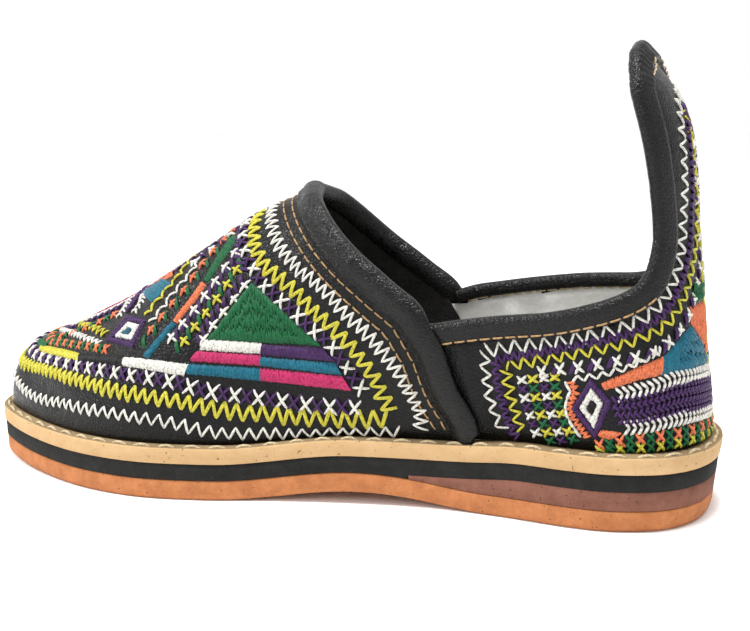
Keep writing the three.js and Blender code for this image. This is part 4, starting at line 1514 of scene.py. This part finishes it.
# Yellow overcasting along the back seam, from the sole to the foot of the tab
SEAM_FOOT, SEAM_TOP = 27, 88
seam_path = [back_spot(z) for z in range(SEAM_FOOT, SEAM_TOP, 3)]
cord(seam_path, "quarter", {"thread": "yellow", "pitch": 3.4, "radius": 0.5})
zigzag(seam_path, "quarter", {"thread": "yellow", "pitch": 5, "width": 1.6})


# Sewn channel of the welt: one strand for each stitch, dipping at both ends
WELT_TURNS = [k / 1600 for k in range(1600)]
WELT_STITCH_RISE = [(0, -1.2), (0.12, -0.4), (0.3, 0), (0.5, 0.15), (0.7, 0), (0.88, -0.4), (1, -1.2)]


def welt_stitches():
    for n in range(WELT_STITCHES):
        turns = [turn for turn in WELT_TURNS if n + 0.12 < seam_phase(turn) < n + 0.88]
        points = []
        for share, lift in WELT_STITCH_RISE:
            x, y = rim(turns[round(share * (len(turns) - 1))], 0, SEAM_INSET)
            points.append(Vector((x, y, deck_at(x_to_along(x)) + lift)))
        strands["cream"].append((points, 0.55))


welt_stitches()


# Stitch rows beside the roll, along the binding's lower edge and where they come through inside
ROLL_ROWS = (-1.58, -2.38)
STITCH_LENGTH = 3.9
STITCH_RISE = [(0.1, -0.4), (0.2, 0.1), (0.5, 0.25), (0.8, 0.1), (0.9, -0.4)]
SEWING_RADIUS = 0.3


def sewn_row(line, normals, lift, thread):
    """Straight stitches along a line, each sunk at both ends."""
    count = max(2, round(path_length(line) / STITCH_LENGTH))
    places = evenly(line, count)
    ways = evenly(normals, count)
    for k in range(count):
        way = ways[k].normalized()
        points = []
        for share, rise in STITCH_RISE:
            points.append(places[k].lerp(places[k + 1], share) + way * (lift + rise))
        strands[thread].append((points, SEWING_RADIUS))


def roll_rows():
    for share in ROLL_ROWS:
        line = []
        normals = []
        for k in range(2, ROLL_STEPS - 1):
            tangent = (roll_path[k + 1] - roll_path[k - 1]).normalized()
            aim = roll_path[k] + tangent.cross(roll_out[k]) * share * ROLL_WIDTH / 2
            place, normal = on_leather(aim, "vamp")
            if place.z > feather_height(place.x) + 2:
                line.append(place)
                normals.append(normal)
        sewn_row(averaged(line, 2), normals, 0.05, "tan")


BINDING_SEAM_TOP = QUARTER + FOREFOOT_DECK + 8
ROLL_CLEARANCE = 4.4


def binding_rows():
    for thread, share, lift in (("tan", 0.86, 0.15), ("cream", 0.62, -(VAMP_STEP + QUARTER_WALL))):
        for half in (BINDING_RAIL, BINDING_RAIL[::-1]):
            line = []
            normals = []
            for edge, inward, _, width in half:
                if edge.z > BINDING_SEAM_TOP:
                    break
                place, normal = on_leather(edge + inward * width * share, "whole")
                if behind_mouth(place) > ROLL_CLEARANCE:
                    line.append(place)
                    normals.append(normal if lift > 0 else -normal)
            sewn_row(line, normals, abs(lift), thread)


roll_rows()
binding_rows()


def thread_piece(colour):
    """All strands of one colour as one mesh of thin round tubes with closed ends."""
    curve = bpy.data.curves.new(colour, "CURVE")
    curve.dimensions = "3D"
    curve.bevel_depth = MM
    curve.bevel_resolution = 1
    curve.use_fill_caps = True
    for points, radius in strands[colour]:
        spline = curve.splines.new("POLY")
        spline.points.add(len(points) - 1)
        for k, (spot, point) in enumerate(zip(spline.points, points)):
            spot.co = (*(point * MM), 1)
            spot.radius = radius * (0.75 if k in (0, len(points) - 1) else 1)
    holder = bpy.data.objects.new(colour, curve)
    bpy.context.scene.collection.objects.link(holder)
    bpy.context.view_layer.update()
    evaluated = holder.evaluated_get(bpy.context.evaluated_depsgraph_get())
    mesh = bpy.data.meshes.new_from_object(evaluated)
    bpy.data.objects.remove(holder)
    mesh.materials.clear()
    piece_of("thread_" + colour, mesh, [floss_of[colour]])


for colour, lines in strands.items():
    if lines:
        thread_piece(colour)

# Floor and light
FLOOR_REACH = 12
floor_shape = bmesh.new()
bmesh.ops.create_grid(floor_shape, x_segments=1, y_segments=1, size=FLOOR_REACH)
floor_mesh = bpy.data.meshes.new("floor")
floor_shape.to_mesh(floor_mesh)
floor_shape.free()
floor = bpy.data.objects.new("floor", floor_mesh)
bpy.context.scene.collection.objects.link(floor)
paper = new_finish("white_paper", {"Roughness": 0.95, "Base Color": linear("#ffffff")})[0]
floor_mesh.materials.append(paper)

world = bpy.data.worlds.new("studio")
bpy.context.scene.world = world
world.use_nodes = True
world.node_tree.nodes["Background"].inputs["Color"].default_value = linear("#ffffff")
world.node_tree.nodes["Background"].inputs["Strength"].default_value = 1


def area_light(name, place, target, size, power):
    """A square lamp: place, target and side in metres, power in watts."""
    light = bpy.data.lights.new(name, "AREA")
    light.size = size
    light.energy = power
    holder = bpy.data.objects.new(name, light)
    bpy.context.scene.collection.objects.link(holder)
    holder.location = place
    holder.rotation_euler = (Vector(target) - Vector(place)).to_track_quat("-Z", "Y").to_euler()


area_light("key", (-0.85, -0.4, 0.85), (0, 0, 0.05), 0.18, 9)
area_light("top", (0.12, -0.12, 1), (0, 0, 0.05), 0.2, 9)
area_light("side", (-0.7, -0.95, 0.5), (0, 0, 0.06), 0.15, 1.6)
bpy.context.scene.view_settings.view_transform = "Standard"
